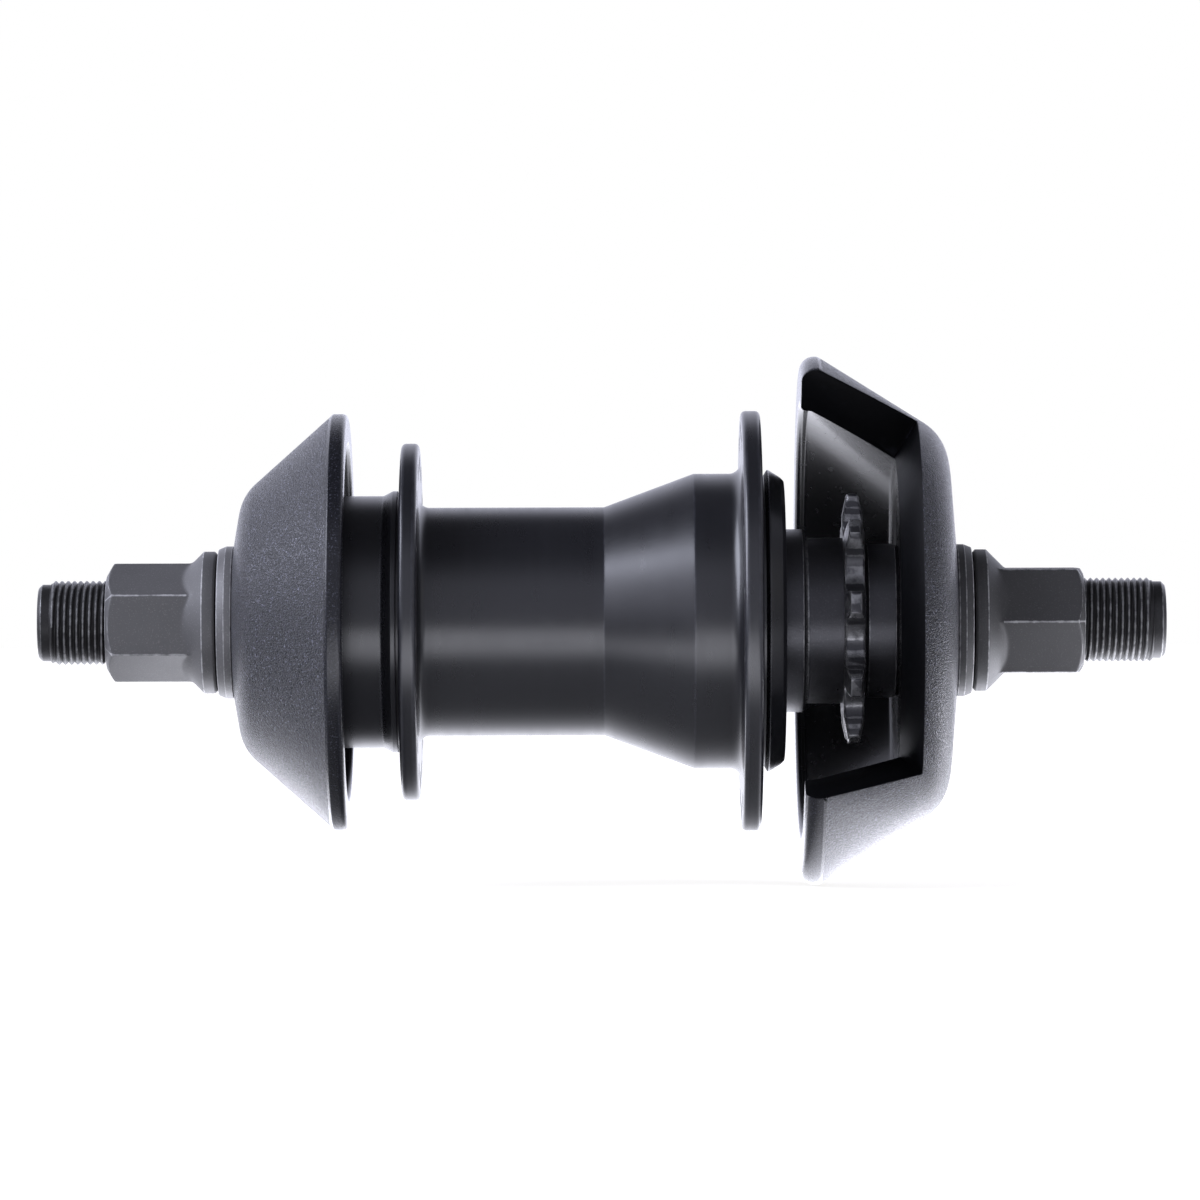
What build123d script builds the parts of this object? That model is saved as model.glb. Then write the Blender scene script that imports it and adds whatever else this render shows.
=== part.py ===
"""Freecoaster hub: axle, shell, driver with its sprocket, and the screw clutch inside.

X runs along the axle with the drive side at +X, Z is up, and the chain window faces -Y.
The origin is on the axle line, midway between the two outer guard faces. Lengths are millimetres.
"""

import os
from math import acos, cos, degrees, pi, radians, sin, tan

from build123d import *

# Axle
THREAD_R = 6.9
THREAD_ENGAGED_R = 6.68
THREAD_PLAY = 0.02
SEAT_R = 7.5
TIP_R = 6.3
TIP_LENGTH = 2.0
TIP_CHAMFER = 0.6
AXLE_NDS_REACH = 32.2
AXLE_DS_REACH = 34.4
SEAT_END_CLEARANCE = 0.1

# Distances from the origin to the faces that locate everything
LOCKNUT_FACE_X = 55.0
GUARD_WALL = 4.2
GUARD_FACE_X = LOCKNUT_FACE_X + GUARD_WALL

# Dropout washers and axle nuts
WASHER_R = 12.5
WASHER_THICKNESS = 2.5
WASHER_BORE_R = 7.25
WASHER_CHAMFER = 0.2
WASHER_BEVEL_DEPTH = 0.5
WASHER_BEVEL_WIDTH = 1.25
WASHER_GAP = 0.1
NUT_GAP = 0.3
NUT_LENGTH = 18.1
NUT_ACROSS_FLATS = 17.0
NUT_FLANGE_R = 11.65
NUT_FLANGE_THICKNESS = 2.15
NUT_FLANGE_CHAMFER = 0.4
NUT_CONE_LENGTH = 4.1
NUT_CHAMFER = 0.6
NUT_MOUTH_CHAMFER = 0.5
NDS_NUT_TURN = 2.5
DS_NUT_TURN = 31.6

# Guards: bowls with a flat back, a straight cone and a short lip at the rim
GUARD_BORE_R = 7.2
GUARD_FLAT_R = 13.0
NDS_GUARD_BACK_X = 57.8
NDS_GUARD_BACK_R = 20.9
NDS_GUARD_BACK_ROUND = 8.0
NDS_GUARD_CONE_ANGLE = 41.7
NDS_GUARD_LIP_X = 43.4
NDS_GUARD_LIP_R = 34.2
NDS_GUARD_RIM_X = 40.5
NDS_GUARD_RIM_CHAMFER = 0.8
NDS_GUARD_CONE_WALL = 4.4
NDS_GUARD_FLOOR_ROUND = 2.5
DS_GUARD_BACK_X = 57.65
DS_GUARD_BACK_R = 30.25
DS_GUARD_BACK_ROUND = 8.5
DS_GUARD_CONE_ANGLE = 32.0
DS_GUARD_LIP_X = 37.0
DS_GUARD_LIP_R = 43.4
DS_GUARD_RIM_X = 33.7
DS_GUARD_RIM_CHAMFER = 1.7
DS_GUARD_CONE_WALL = 7.6
DS_GUARD_FLOOR_X = 49.6
DS_GUARD_POCKET_R = 11.6
DS_GUARD_FLOOR_ROUND = 1.5
LIP_STEP = 0.4
MOUTH_CHAMFER = 0.7

# Chain window in the drive-side guard, as two side planes and a slanted end
WINDOW_LOWER_Z = -17.3
WINDOW_LOWER_SLOPE = -18.5
WINDOW_UPPER_Z = 25.8
WINDOW_UPPER_SLOPE = 45.0
WINDOW_END_X = 50.9
WINDOW_END_DEPTH = 26.0
WINDOW_END_SLANT = 14.8
WINDOW_RAMP_DEPTH = 22.0
WINDOW_REAR_DEPTH = -9.5
WINDOW_MARGIN = 5.0

# Hub shell outside
NDS_BOSS_R = 20.7
NDS_BOSS_FLARE = 0.8
NDS_FLANGE_X = -31.7
NDS_FLANGE_THICKNESS = 2.9
NDS_FLANGE_R = 29.3
BARREL_R = 18.75
BARREL_FILLET = 1.6
CONE_START_X = 1.5
CONE_START_ROUND = 1.0
CONE_END_X = 16.2
CONE_END_ROUND = 1.5
DRUM_R = 24.2
DRUM_FILLET = 2.0
DS_FLANGE_X = 24.0
DS_FLANGE_THICKNESS = 3.1
DS_FLANGE_R = 34.5
FLANGE_ROUND = 0.75
RELIEF_WIDTH = 0.6
RELIEF_DEPTH = 1.0
DS_BOSS_R = 24.9
DS_BOSS_NECK_R = 23.6
DS_BOSS_END_X = 31.0
SHELL_CHAMFER = 0.6

# Spoke holes
SPOKE_COUNT = 18
SPOKE_HOLE_R = 1.3
SPOKE_EDGE = 3.3

# Hub shell inside
SHELL_BORE_R = 15.8
SHELL_CONE_START_X = 4.5
SHELL_CONE_END_X = 9.5
SHELL_BEARING_R = 21.0
RACE_START_X = 13.0
RACE_WALL = 1.8
RACE_DROP = 1.8
RACE_MOUTH_R = SHELL_BEARING_R - RACE_WALL
RACE_THROAT_R = RACE_MOUTH_R - RACE_DROP
POCKET_CLEARANCE = 0.6
SHELL_POCKET_R = RACE_MOUTH_R + POCKET_CLEARANCE
NDS_SHOULDER_R = 14.5
NDS_SHOULDER_WIDTH = 1.5

# Ball bearings
NDS_BEARING_X = -44.5
NDS_BEARING_R = 16.0
NDS_BEARING_WIDTH = 9.0
NDS_BALL_R = 2.38
NDS_BALLS = 9
NDS_BEARING_INSET = 0.5
NDS_BOSS_END_X = NDS_BEARING_X - NDS_BEARING_INSET
SHELL_BEARING_X = 22.8
SHELL_BEARING_DEPTH = 6.0
SHELL_BEARING_WIDTH = 7.0
SHELL_BALL_R = 1.59
SHELL_BALLS = 18
DRIVER_SEAT_R = SHELL_BEARING_R - SHELL_BEARING_DEPTH
DRIVER_BEARING_X = 38.6
DRIVER_BEARING_R = 12.0
DRIVER_BEARING_WIDTH = 5.0
DRIVER_BALL_R = 1.3
DRIVER_BALLS = 13
GROOVE_CLEARANCE = 0.03
CAGE_CLEARANCE = 0.08
SEAL_THICKNESS = 0.4
SEAL_RECESS = 0.1
SEAL_CLEARANCE = 0.08
RACE_CHAMFER = 0.3

# Driver: coarse screw, bearing seat, collar, body and sprocket
DRIVER_STOP_GAP = 0.2
SCREW_END_X = 20.5
SCREW_STARTS = 6
SCREW_LEAD = 20.0
SCREW_ROOT_R = 12.0
SCREW_CREST_R = 13.6
SCREW_ROOT_HALF_ANGLE = 18.0
SCREW_CREST_HALF_ANGLE = 11.0
SCREW_RADIAL_CLEARANCE = 0.15
SCREW_FLANK_CLEARANCE = 0.25
DRIVER_SEAT_LEAD = 0.8
DRIVER_SEAT_START_X = SHELL_BEARING_X - DRIVER_SEAT_LEAD
DRIVER_SHOULDER_STEP = 1.6
DRIVER_SHOULDER_R = DRIVER_SEAT_R + DRIVER_SHOULDER_STEP
DRIVER_SHOULDER_WIDTH = 0.9
DRIVER_COLLAR_STEP = 0.05
DRIVER_COLLAR_R = DRIVER_SEAT_R + DRIVER_COLLAR_STEP
DRIVER_COLLAR_END_X = 34.4
DRIVER_BODY_R = 13.6
DRIVER_CHAMFER = 0.4
DRIVER_BORE_R = 9.6
SPROCKET_X = 40.6
SPROCKET_END_X = 44.0
CHAIN_PITCH = 12.7
ROLLER_R = 3.95
TEETH = 9
TOOTH_TIP_R = 20.9
TOOTH_TIP_THICKNESS = 2.3
TOOTH_TAPER_R = 17.3
TOOTH_TURN = 8.0

# Needle bearing in the driver's inner end
NEEDLE_CUP_R = 10.5
NEEDLE_CUP_WALL = 1.0
NEEDLE_CUP_LENGTH = 12.0
NEEDLE_CUP_INSET = 0.5
NEEDLE_LIP_R = 8.3
NEEDLE_LIP_THICKNESS = 0.8
NEEDLE_COUNT = 12
NEEDLE_CLEARANCE = 0.03
NEEDLE_END_CLEARANCE = 0.2
NEEDLE_CAGE_BAR = 0.6

# Clutch, its race, its spring and the fixed sleeve
CLUTCH_TRAVEL = 3.0
CLUTCH_STOP_GAP = 0.1
CLUTCH_END_X = 17.8
CLUTCH_CONE_START_X = 10.0
CLUTCH_NECK_END_X = 7.5
CLUTCH_SKIRT_R = 15.0
CLUTCH_SKIRT_BORE_R = 13.85
CLUTCH_SKIRT_START_X = -7.0
CLUTCH_SLOT_WIDTH = 7.6
CLUTCH_SLOT_END_X = 2.0
CLUTCH_CONTACT_CLEARANCE = 0.03
RACE_RELIEF = 0.6
RACE_TAPER_END_X = SHELL_BEARING_X - RACE_RELIEF
AXLE_COLLAR_R = 9.2
AXLE_COLLAR_LENGTH = 1.5
SLEEVE_R = 9.5
SLEEVE_START_X = NDS_BEARING_X + NDS_BEARING_WIDTH + AXLE_COLLAR_LENGTH
SLEEVE_END_X = 1.0
SPRING_X = -6.0
SPRING_WIDTH = 4.0
SPRING_THICKNESS = 1.8
SPRING_GRIP_CLEARANCE = 0.03
SPRING_EAR_R = 14.4
SPRING_EAR_WIDTH = 2.2
SPRING_EAR_CLEARANCE = 0.15
SLACK_WASHER_COUNT = 2
SLACK_WASHER_THICKNESS = 0.9
SLACK_WASHER_R = 13.2
SLACK_WASHER_PLAY = 0.05
BORE_PLAY = 0.02
TOOTH_BLANK_SPARE = 0.1
CUT_OVERRUN = 1.0

# Cone nuts and locknuts
CONE_NOSE_R = 8.7
NDS_CONE_R = 13.0
NDS_CONE_GAP = 0.4
NDS_CONE_START_X = NDS_BOSS_END_X - NDS_CONE_GAP
NDS_LOCKNUT_X = -49.6
DS_CONE_R = 12.65
DS_CONE_GAP = 0.15
DS_LOCKNUT_X = DS_GUARD_FLOOR_X
CONE_CHAMFER = 0.5
LOCKNUT_ACROSS_FLATS = 19.0
LOCKNUT_CHAMFER = 0.15


def turned(*corners):
    """Solid turned about the axle line. A corner is (x, radius) or (x, radius, round)."""
    rounds = [corner[2] if len(corner) > 2 else 0 for corner in corners]
    points = [corner[:2] for corner in corners]
    outline = FilletPolyline(*points, radius=rounds, close=True)
    return revolve(make_face(outline), Axis.X)


def ring(start_x, end_x, bore_r, outer_r, chamfer=0.0):
    """Plain ring, with its two outer corners chamfered where asked."""
    if not chamfer:
        return turned((start_x, bore_r), (end_x, bore_r), (end_x, outer_r), (start_x, outer_r))
    return turned(
        (start_x, bore_r),
        (end_x, bore_r),
        (end_x, outer_r - chamfer),
        (end_x - chamfer, outer_r),
        (start_x + chamfer, outer_r),
        (start_x, outer_r - chamfer),
    )


def mirrored(corners):
    """The same outline on the other side of the origin."""
    return [(-corner[0], *corner[1:]) for corner in corners]


def along_x(face, start_x, length):
    """Extrusion along the axle of a face drawn with its own X on the part's Y and its own Y on Z."""
    plane = Plane(origin=(start_x, 0, 0), x_dir=(0, 1, 0), z_dir=(1, 0, 0))
    return extrude(plane * face, length)


def around(solid, count):
    """Copies of a solid spaced evenly round the axle line."""
    return [Rot(X=360 / count * index) * solid for index in range(count)]


def hexagon_nut(start_x, end_x, across_flats, chamfer, turn):
    """Hexagonal length with both ends turned to a chamfer that starts just inside the flats."""
    corner_r = across_flats / 2 / cos(radians(30))
    prism = along_x(RegularPolygon(corner_r, 6), start_x, end_x - start_x)
    end_r = across_flats / 2 - chamfer
    run = (corner_r - end_r) * tan(radians(30))
    blank = turned(
        (start_x, 0),
        (end_x, 0),
        (end_x, end_r),
        (end_x - run, corner_r),
        (start_x + run, corner_r),
        (start_x, end_r),
    )
    return Rot(X=turn) * prism & blank


# Axle
def axle():
    """Ground axle with two bearing seats, a collar inside the plain-side bearing and threaded ends."""
    nds_tip = -(GUARD_FACE_X + AXLE_NDS_REACH)
    ds_tip = GUARD_FACE_X + AXLE_DS_REACH
    nds_nut = nut_span(-1)
    ds_nut = nut_span(1)
    nds_seat = NDS_BEARING_X + SEAT_END_CLEARANCE
    ds_seat = DRIVER_BEARING_X + DRIVER_BEARING_WIDTH - SEAT_END_CLEARANCE
    collar_x = NDS_BEARING_X + NDS_BEARING_WIDTH
    return turned(
        (nds_tip, 0),
        (nds_tip, TIP_R - TIP_CHAMFER),
        (nds_tip + TIP_CHAMFER, TIP_R),
        (nds_tip + TIP_LENGTH, TIP_R),
        (nds_tip + TIP_LENGTH, THREAD_R),
        (nds_nut[0], THREAD_R),
        (nds_nut[0], THREAD_ENGAGED_R),
        (nds_nut[1], THREAD_ENGAGED_R),
        (nds_nut[1], THREAD_R),
        (-LOCKNUT_FACE_X, THREAD_R),
        (-LOCKNUT_FACE_X, THREAD_ENGAGED_R),
        (nds_seat, THREAD_ENGAGED_R),
        (nds_seat, SEAT_R),
        (collar_x, SEAT_R),
        (collar_x, AXLE_COLLAR_R),
        (SLEEVE_START_X, AXLE_COLLAR_R),
        (SLEEVE_START_X, SEAT_R),
        (ds_seat, SEAT_R),
        (ds_seat, THREAD_ENGAGED_R),
        (LOCKNUT_FACE_X, THREAD_ENGAGED_R),
        (LOCKNUT_FACE_X, THREAD_R),
        (ds_nut[0], THREAD_R),
        (ds_nut[0], THREAD_ENGAGED_R),
        (ds_nut[1], THREAD_ENGAGED_R),
        (ds_nut[1], THREAD_R),
        (ds_tip - TIP_LENGTH, THREAD_R),
        (ds_tip - TIP_LENGTH, TIP_R),
        (ds_tip - TIP_CHAMFER, TIP_R),
        (ds_tip, TIP_R - TIP_CHAMFER),
        (ds_tip, 0),
    )


def nut_span(side):
    """The two ends of an axle nut along X, lower first. side is 1 on the drive side and -1 on the other."""
    inner = GUARD_FACE_X + WASHER_GAP + WASHER_THICKNESS + NUT_GAP
    return sorted((side * inner, side * (inner + NUT_LENGTH)))


def axle_nut(side, turn):
    """Flanged hexagon nut: a thin round flange, a 45 degree cone and a hexagon."""
    inner = GUARD_FACE_X + WASHER_GAP + WASHER_THICKNESS + NUT_GAP
    outer = inner + NUT_LENGTH
    bore_r = THREAD_ENGAGED_R + THREAD_PLAY
    flange = [
        (inner, 0),
        (inner, NUT_FLANGE_R - NUT_FLANGE_CHAMFER),
        (inner + NUT_FLANGE_CHAMFER, NUT_FLANGE_R),
        (inner + NUT_FLANGE_THICKNESS, NUT_FLANGE_R, NUT_FLANGE_CHAMFER),
        (inner + NUT_FLANGE_THICKNESS + NUT_CONE_LENGTH, NUT_FLANGE_R - NUT_CONE_LENGTH),
        (inner + NUT_FLANGE_THICKNESS + NUT_CONE_LENGTH, 0),
    ]
    bore = [
        (inner - 1, 0),
        (inner - 1, bore_r),
        (outer - NUT_MOUTH_CHAMFER, bore_r),
        (outer, bore_r + NUT_MOUTH_CHAMFER),
        (outer + 1, bore_r + NUT_MOUTH_CHAMFER),
        (outer + 1, 0),
    ]
    if side < 0:
        flange = mirrored(flange)
        bore = mirrored(bore)
    start_x, end_x = sorted((side * inner, side * outer))
    hexagon = hexagon_nut(start_x, end_x, NUT_ACROSS_FLATS, NUT_CHAMFER, turn)
    return hexagon + turned(*flange) - turned(*bore)


def dropout_washer(side):
    """Washer between the frame and the axle nut, bevelled round its outer face."""
    inner = GUARD_FACE_X + WASHER_GAP
    outer = inner + WASHER_THICKNESS
    corners = [
        (inner, WASHER_BORE_R),
        (inner, WASHER_R - WASHER_CHAMFER),
        (inner + WASHER_CHAMFER, WASHER_R),
        (outer - WASHER_BEVEL_WIDTH, WASHER_R),
        (outer, WASHER_R - WASHER_BEVEL_DEPTH),
        (outer, WASHER_BORE_R),
    ]
    if side < 0:
        corners = mirrored(corners)
    return turned(*corners)


# Guards
def nds_guard():
    """Plain-side bowl with one wall thickness all over."""
    slope = tan(radians(NDS_GUARD_CONE_ANGLE))
    lip_foot_r = NDS_GUARD_BACK_R + slope * (NDS_GUARD_BACK_X - NDS_GUARD_LIP_X)
    wall_r = NDS_GUARD_CONE_WALL / cos(radians(NDS_GUARD_CONE_ANGLE))
    floor_r = NDS_GUARD_BACK_R + slope * (NDS_GUARD_BACK_X - LOCKNUT_FACE_X) - wall_r
    mouth_r = lip_foot_r - wall_r + slope * (NDS_GUARD_LIP_X - NDS_GUARD_RIM_X) / 2
    mouth_x = NDS_GUARD_BACK_X - (mouth_r + wall_r - NDS_GUARD_BACK_R) / slope
    corners = [
        (GUARD_FACE_X, GUARD_BORE_R),
        (GUARD_FACE_X, GUARD_FLAT_R),
        (NDS_GUARD_BACK_X, NDS_GUARD_BACK_R, NDS_GUARD_BACK_ROUND),
        (NDS_GUARD_LIP_X, lip_foot_r),
        (NDS_GUARD_LIP_X - LIP_STEP, NDS_GUARD_LIP_R),
        (NDS_GUARD_RIM_X + NDS_GUARD_RIM_CHAMFER, NDS_GUARD_LIP_R),
        (NDS_GUARD_RIM_X, NDS_GUARD_LIP_R - NDS_GUARD_RIM_CHAMFER),
        (NDS_GUARD_RIM_X, mouth_r + MOUTH_CHAMFER),
        (NDS_GUARD_RIM_X + MOUTH_CHAMFER, mouth_r),
        (mouth_x, mouth_r),
        (LOCKNUT_FACE_X, floor_r, NDS_GUARD_FLOOR_ROUND),
        (LOCKNUT_FACE_X, GUARD_BORE_R),
    ]
    return turned(*mirrored(corners))


def ds_guard_bowl():
    """Drive-side bowl without its window: thick back, pocket round the locknut, conical wall."""
    slope = tan(radians(DS_GUARD_CONE_ANGLE))
    lip_foot_r = DS_GUARD_BACK_R + slope * (DS_GUARD_BACK_X - DS_GUARD_LIP_X)
    wall_r = DS_GUARD_CONE_WALL / cos(radians(DS_GUARD_CONE_ANGLE))
    floor_r = DS_GUARD_BACK_R + slope * (DS_GUARD_BACK_X - DS_GUARD_FLOOR_X) - wall_r
    mouth_r = lip_foot_r - wall_r + slope * (DS_GUARD_LIP_X - DS_GUARD_RIM_X) / 2
    mouth_x = DS_GUARD_BACK_X - (mouth_r + wall_r - DS_GUARD_BACK_R) / slope
    return turned(
        (GUARD_FACE_X, GUARD_BORE_R),
        (GUARD_FACE_X, GUARD_FLAT_R),
        (DS_GUARD_BACK_X, DS_GUARD_BACK_R, DS_GUARD_BACK_ROUND),
        (DS_GUARD_LIP_X, lip_foot_r),
        (DS_GUARD_LIP_X - LIP_STEP, DS_GUARD_LIP_R),
        (DS_GUARD_RIM_X + DS_GUARD_RIM_CHAMFER, DS_GUARD_LIP_R),
        (DS_GUARD_RIM_X, DS_GUARD_LIP_R - DS_GUARD_RIM_CHAMFER),
        (DS_GUARD_RIM_X, mouth_r + MOUTH_CHAMFER),
        (DS_GUARD_RIM_X + MOUTH_CHAMFER, mouth_r),
        (mouth_x, mouth_r),
        (DS_GUARD_FLOOR_X, floor_r, DS_GUARD_FLOOR_ROUND),
        (DS_GUARD_FLOOR_X, DS_GUARD_POCKET_R),
        (LOCKNUT_FACE_X, DS_GUARD_POCKET_R),
        (LOCKNUT_FACE_X, GUARD_BORE_R),
    )


def chain_window():
    """Space cut from the bowl: open at the rim, between two slanted side planes, with a slanted end."""
    front = DS_GUARD_LIP_R + WINDOW_MARGIN
    rear = WINDOW_REAR_DEPTH
    open_x = DS_GUARD_RIM_X - WINDOW_MARGIN
    front_end_x = WINDOW_END_X + tan(radians(WINDOW_END_SLANT)) * (front - WINDOW_END_DEPTH)
    side_view = Polyline(
        (open_x, front),
        (open_x, rear),
        (DS_GUARD_FLOOR_X, rear),
        (DS_GUARD_FLOOR_X, WINDOW_RAMP_DEPTH),
        (WINDOW_END_X, WINDOW_END_DEPTH),
        (front_end_x, front),
        close=True,
    )
    profile = Plane(origin=(0, 0, -front), x_dir=(1, 0, 0), z_dir=(0, 0, -1))
    slab = extrude(profile * make_face(side_view), -2 * front)

    def side_z(z_at_axis, slope, depth):
        return z_at_axis + tan(radians(slope)) * depth

    end_view = Polyline(
        (-rear, side_z(WINDOW_LOWER_Z, WINDOW_LOWER_SLOPE, rear)),
        (-front, side_z(WINDOW_LOWER_Z, WINDOW_LOWER_SLOPE, front)),
        (-front, side_z(WINDOW_UPPER_Z, WINDOW_UPPER_SLOPE, front)),
        (-rear, side_z(WINDOW_UPPER_Z, WINDOW_UPPER_SLOPE, rear)),
        close=True,
    )
    wedge = along_x(make_face(end_view), open_x, 2 * front)
    return slab & wedge


def ds_guard():
    """Drive-side bowl with its chain window."""
    return ds_guard_bowl() - chain_window()


# Hub shell
def spoke_holes(flange_x, thickness, flange_r):
    """Straight holes through one flange, on a circle just inside its rim."""
    hole = Plane(origin=(flange_x - 1, 0, flange_r - SPOKE_EDGE), z_dir=(1, 0, 0))
    cutter = extrude(hole * Circle(SPOKE_HOLE_R), thickness + 2)
    return around(cutter, SPOKE_COUNT)


def hub_shell():
    """Shell turned in one piece, from the plain-side boss to the drive-side one, with two flanges."""
    nds_flange_end = NDS_FLANGE_X + NDS_FLANGE_THICKNESS
    ds_flange_end = DS_FLANGE_X + DS_FLANGE_THICKNESS
    nds_relief_x = NDS_FLANGE_X - RELIEF_WIDTH
    ds_relief_x = ds_flange_end + RELIEF_WIDTH
    nds_lip_r = NDS_BOSS_R + NDS_BOSS_FLARE
    nds_seat_end = NDS_BEARING_X + NDS_BEARING_WIDTH
    shell = turned(
        (NDS_BOSS_END_X, NDS_BEARING_R),
        (NDS_BOSS_END_X, NDS_BOSS_R - SHELL_CHAMFER),
        (NDS_BOSS_END_X + SHELL_CHAMFER, NDS_BOSS_R),
        (nds_relief_x - 3 * NDS_BOSS_FLARE, NDS_BOSS_R),
        (nds_relief_x - NDS_BOSS_FLARE, nds_lip_r),
        (nds_relief_x, nds_lip_r),
        (nds_relief_x, nds_lip_r - RELIEF_DEPTH),
        (NDS_FLANGE_X, nds_lip_r - RELIEF_DEPTH),
        (NDS_FLANGE_X, NDS_FLANGE_R, FLANGE_ROUND),
        (nds_flange_end, NDS_FLANGE_R, FLANGE_ROUND),
        (nds_flange_end, BARREL_R, BARREL_FILLET),
        (CONE_START_X, BARREL_R, CONE_START_ROUND),
        (CONE_END_X, DRUM_R, CONE_END_ROUND),
        (DS_FLANGE_X, DRUM_R, DRUM_FILLET),
        (DS_FLANGE_X, DS_FLANGE_R, FLANGE_ROUND),
        (ds_flange_end, DS_FLANGE_R, FLANGE_ROUND),
        (ds_flange_end, DS_BOSS_R - RELIEF_DEPTH),
        (ds_relief_x, DS_BOSS_R - RELIEF_DEPTH),
        (ds_relief_x + RELIEF_WIDTH, DS_BOSS_R),
        (DS_BOSS_END_X - SHELL_CHAMFER, DS_BOSS_NECK_R),
        (DS_BOSS_END_X, DS_BOSS_NECK_R - SHELL_CHAMFER),
        (DS_BOSS_END_X, SHELL_BEARING_R),
        (RACE_START_X, SHELL_BEARING_R),
        (RACE_START_X, SHELL_POCKET_R),
        (SHELL_CONE_END_X, SHELL_POCKET_R),
        (SHELL_CONE_START_X, SHELL_BORE_R),
        (nds_seat_end + NDS_SHOULDER_WIDTH, SHELL_BORE_R),
        (nds_seat_end + NDS_SHOULDER_WIDTH, NDS_SHOULDER_R),
        (nds_seat_end, NDS_SHOULDER_R),
        (nds_seat_end, NDS_BEARING_R),
    )
    shell -= spoke_holes(NDS_FLANGE_X, NDS_FLANGE_THICKNESS, NDS_FLANGE_R)
    shell -= spoke_holes(DS_FLANGE_X, DS_FLANGE_THICKNESS, DS_FLANGE_R)
    return shell


# Ball bearings
def cartridge_bearing(start_x, width, bore_r, outer_r, ball_r, count):
    """Sealed bearing as a dictionary of its two races, balls, cage and seals."""
    pitch_r = (bore_r + outer_r) / 2
    land = ball_r / 2
    mid_x = start_x + width / 2
    end_x = start_x + width
    groove_r = ball_r + GROOVE_CLEARANCE
    groove = revolve(Pos(mid_x, pitch_r) * Circle(groove_r), Axis.X)
    inner = ring(start_x, end_x, bore_r, pitch_r - land) - groove
    outer = ring(start_x, end_x, pitch_r + land, outer_r, RACE_CHAMFER) - groove
    balls = around(Pos(mid_x, 0, pitch_r) * Sphere(ball_r), count)
    cage_half = ball_r + SEAL_THICKNESS
    cage_wall = land - CAGE_CLEARANCE
    cage = ring(mid_x - cage_half, mid_x + cage_half, pitch_r - cage_wall, pitch_r + cage_wall)
    cage -= around(Pos(mid_x, 0, pitch_r) * Sphere(ball_r + CAGE_CLEARANCE), count)
    seals = [
        ring(x, x + SEAL_THICKNESS, pitch_r - land + SEAL_CLEARANCE, pitch_r + land)
        for x in (start_x + SEAL_RECESS, end_x - SEAL_RECESS - SEAL_THICKNESS)
    ]
    return {"inner_race": inner, "outer_race": outer, "balls": balls, "cage": cage, "seals": seals}


# Driver
def slack_stop_x():
    """Outer face of the slack washers, where the clutch rests and just short of where the driver starts."""
    return SLEEVE_END_X + SLACK_WASHER_COUNT * (SLACK_WASHER_THICKNESS + SLACK_WASHER_PLAY)


def driver_start_x():
    """Inner end of the driver."""
    return slack_stop_x() + DRIVER_STOP_GAP


def screw_section(clearance=0.0, flank_clearance=0.0):
    """Cross-section of the coarse screw: straight-sided lobes on a round core, opened out where asked."""
    step = 360 / SCREW_STARTS
    root_r = SCREW_ROOT_R + clearance
    crest_r = SCREW_CREST_R + clearance
    widen = degrees(flank_clearance / SCREW_ROOT_R)

    def point(radius, angle):
        return (radius * cos(radians(angle)), radius * sin(radians(angle)))

    edges = []
    for start in range(SCREW_STARTS):
        lobe = start * step
        root_before = point(root_r, lobe - SCREW_ROOT_HALF_ANGLE - widen)
        crest_before = point(crest_r, lobe - SCREW_CREST_HALF_ANGLE - widen)
        crest_after = point(crest_r, lobe + SCREW_CREST_HALF_ANGLE + widen)
        root_after = point(root_r, lobe + SCREW_ROOT_HALF_ANGLE + widen)
        next_root = point(root_r, lobe + step - SCREW_ROOT_HALF_ANGLE - widen)
        edges.append(Line(root_before, crest_before))
        edges.append(ThreePointArc(crest_before, point(crest_r, lobe), crest_after))
        edges.append(Line(crest_after, root_after))
        edges.append(ThreePointArc(root_after, point(root_r, lobe + step / 2), next_root))
    return make_face(edges)


def screw(start_x, end_x, clearance=0.0, flank_clearance=0.0):
    """Right-handed multiple-start screw of the given section, in phase with every other one."""
    plane = Plane(origin=(start_x, 0, 0), x_dir=(0, 1, 0), z_dir=(1, 0, 0))
    phase = 360 * start_x / SCREW_LEAD
    section = plane * Rot(Z=phase) * screw_section(clearance, flank_clearance)
    length = end_x - start_x
    return Solid.extrude_linear_with_rotation(
        section.faces()[0], (start_x, 0, 0), (length, 0, 0), 360 * length / SCREW_LEAD
    )


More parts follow.
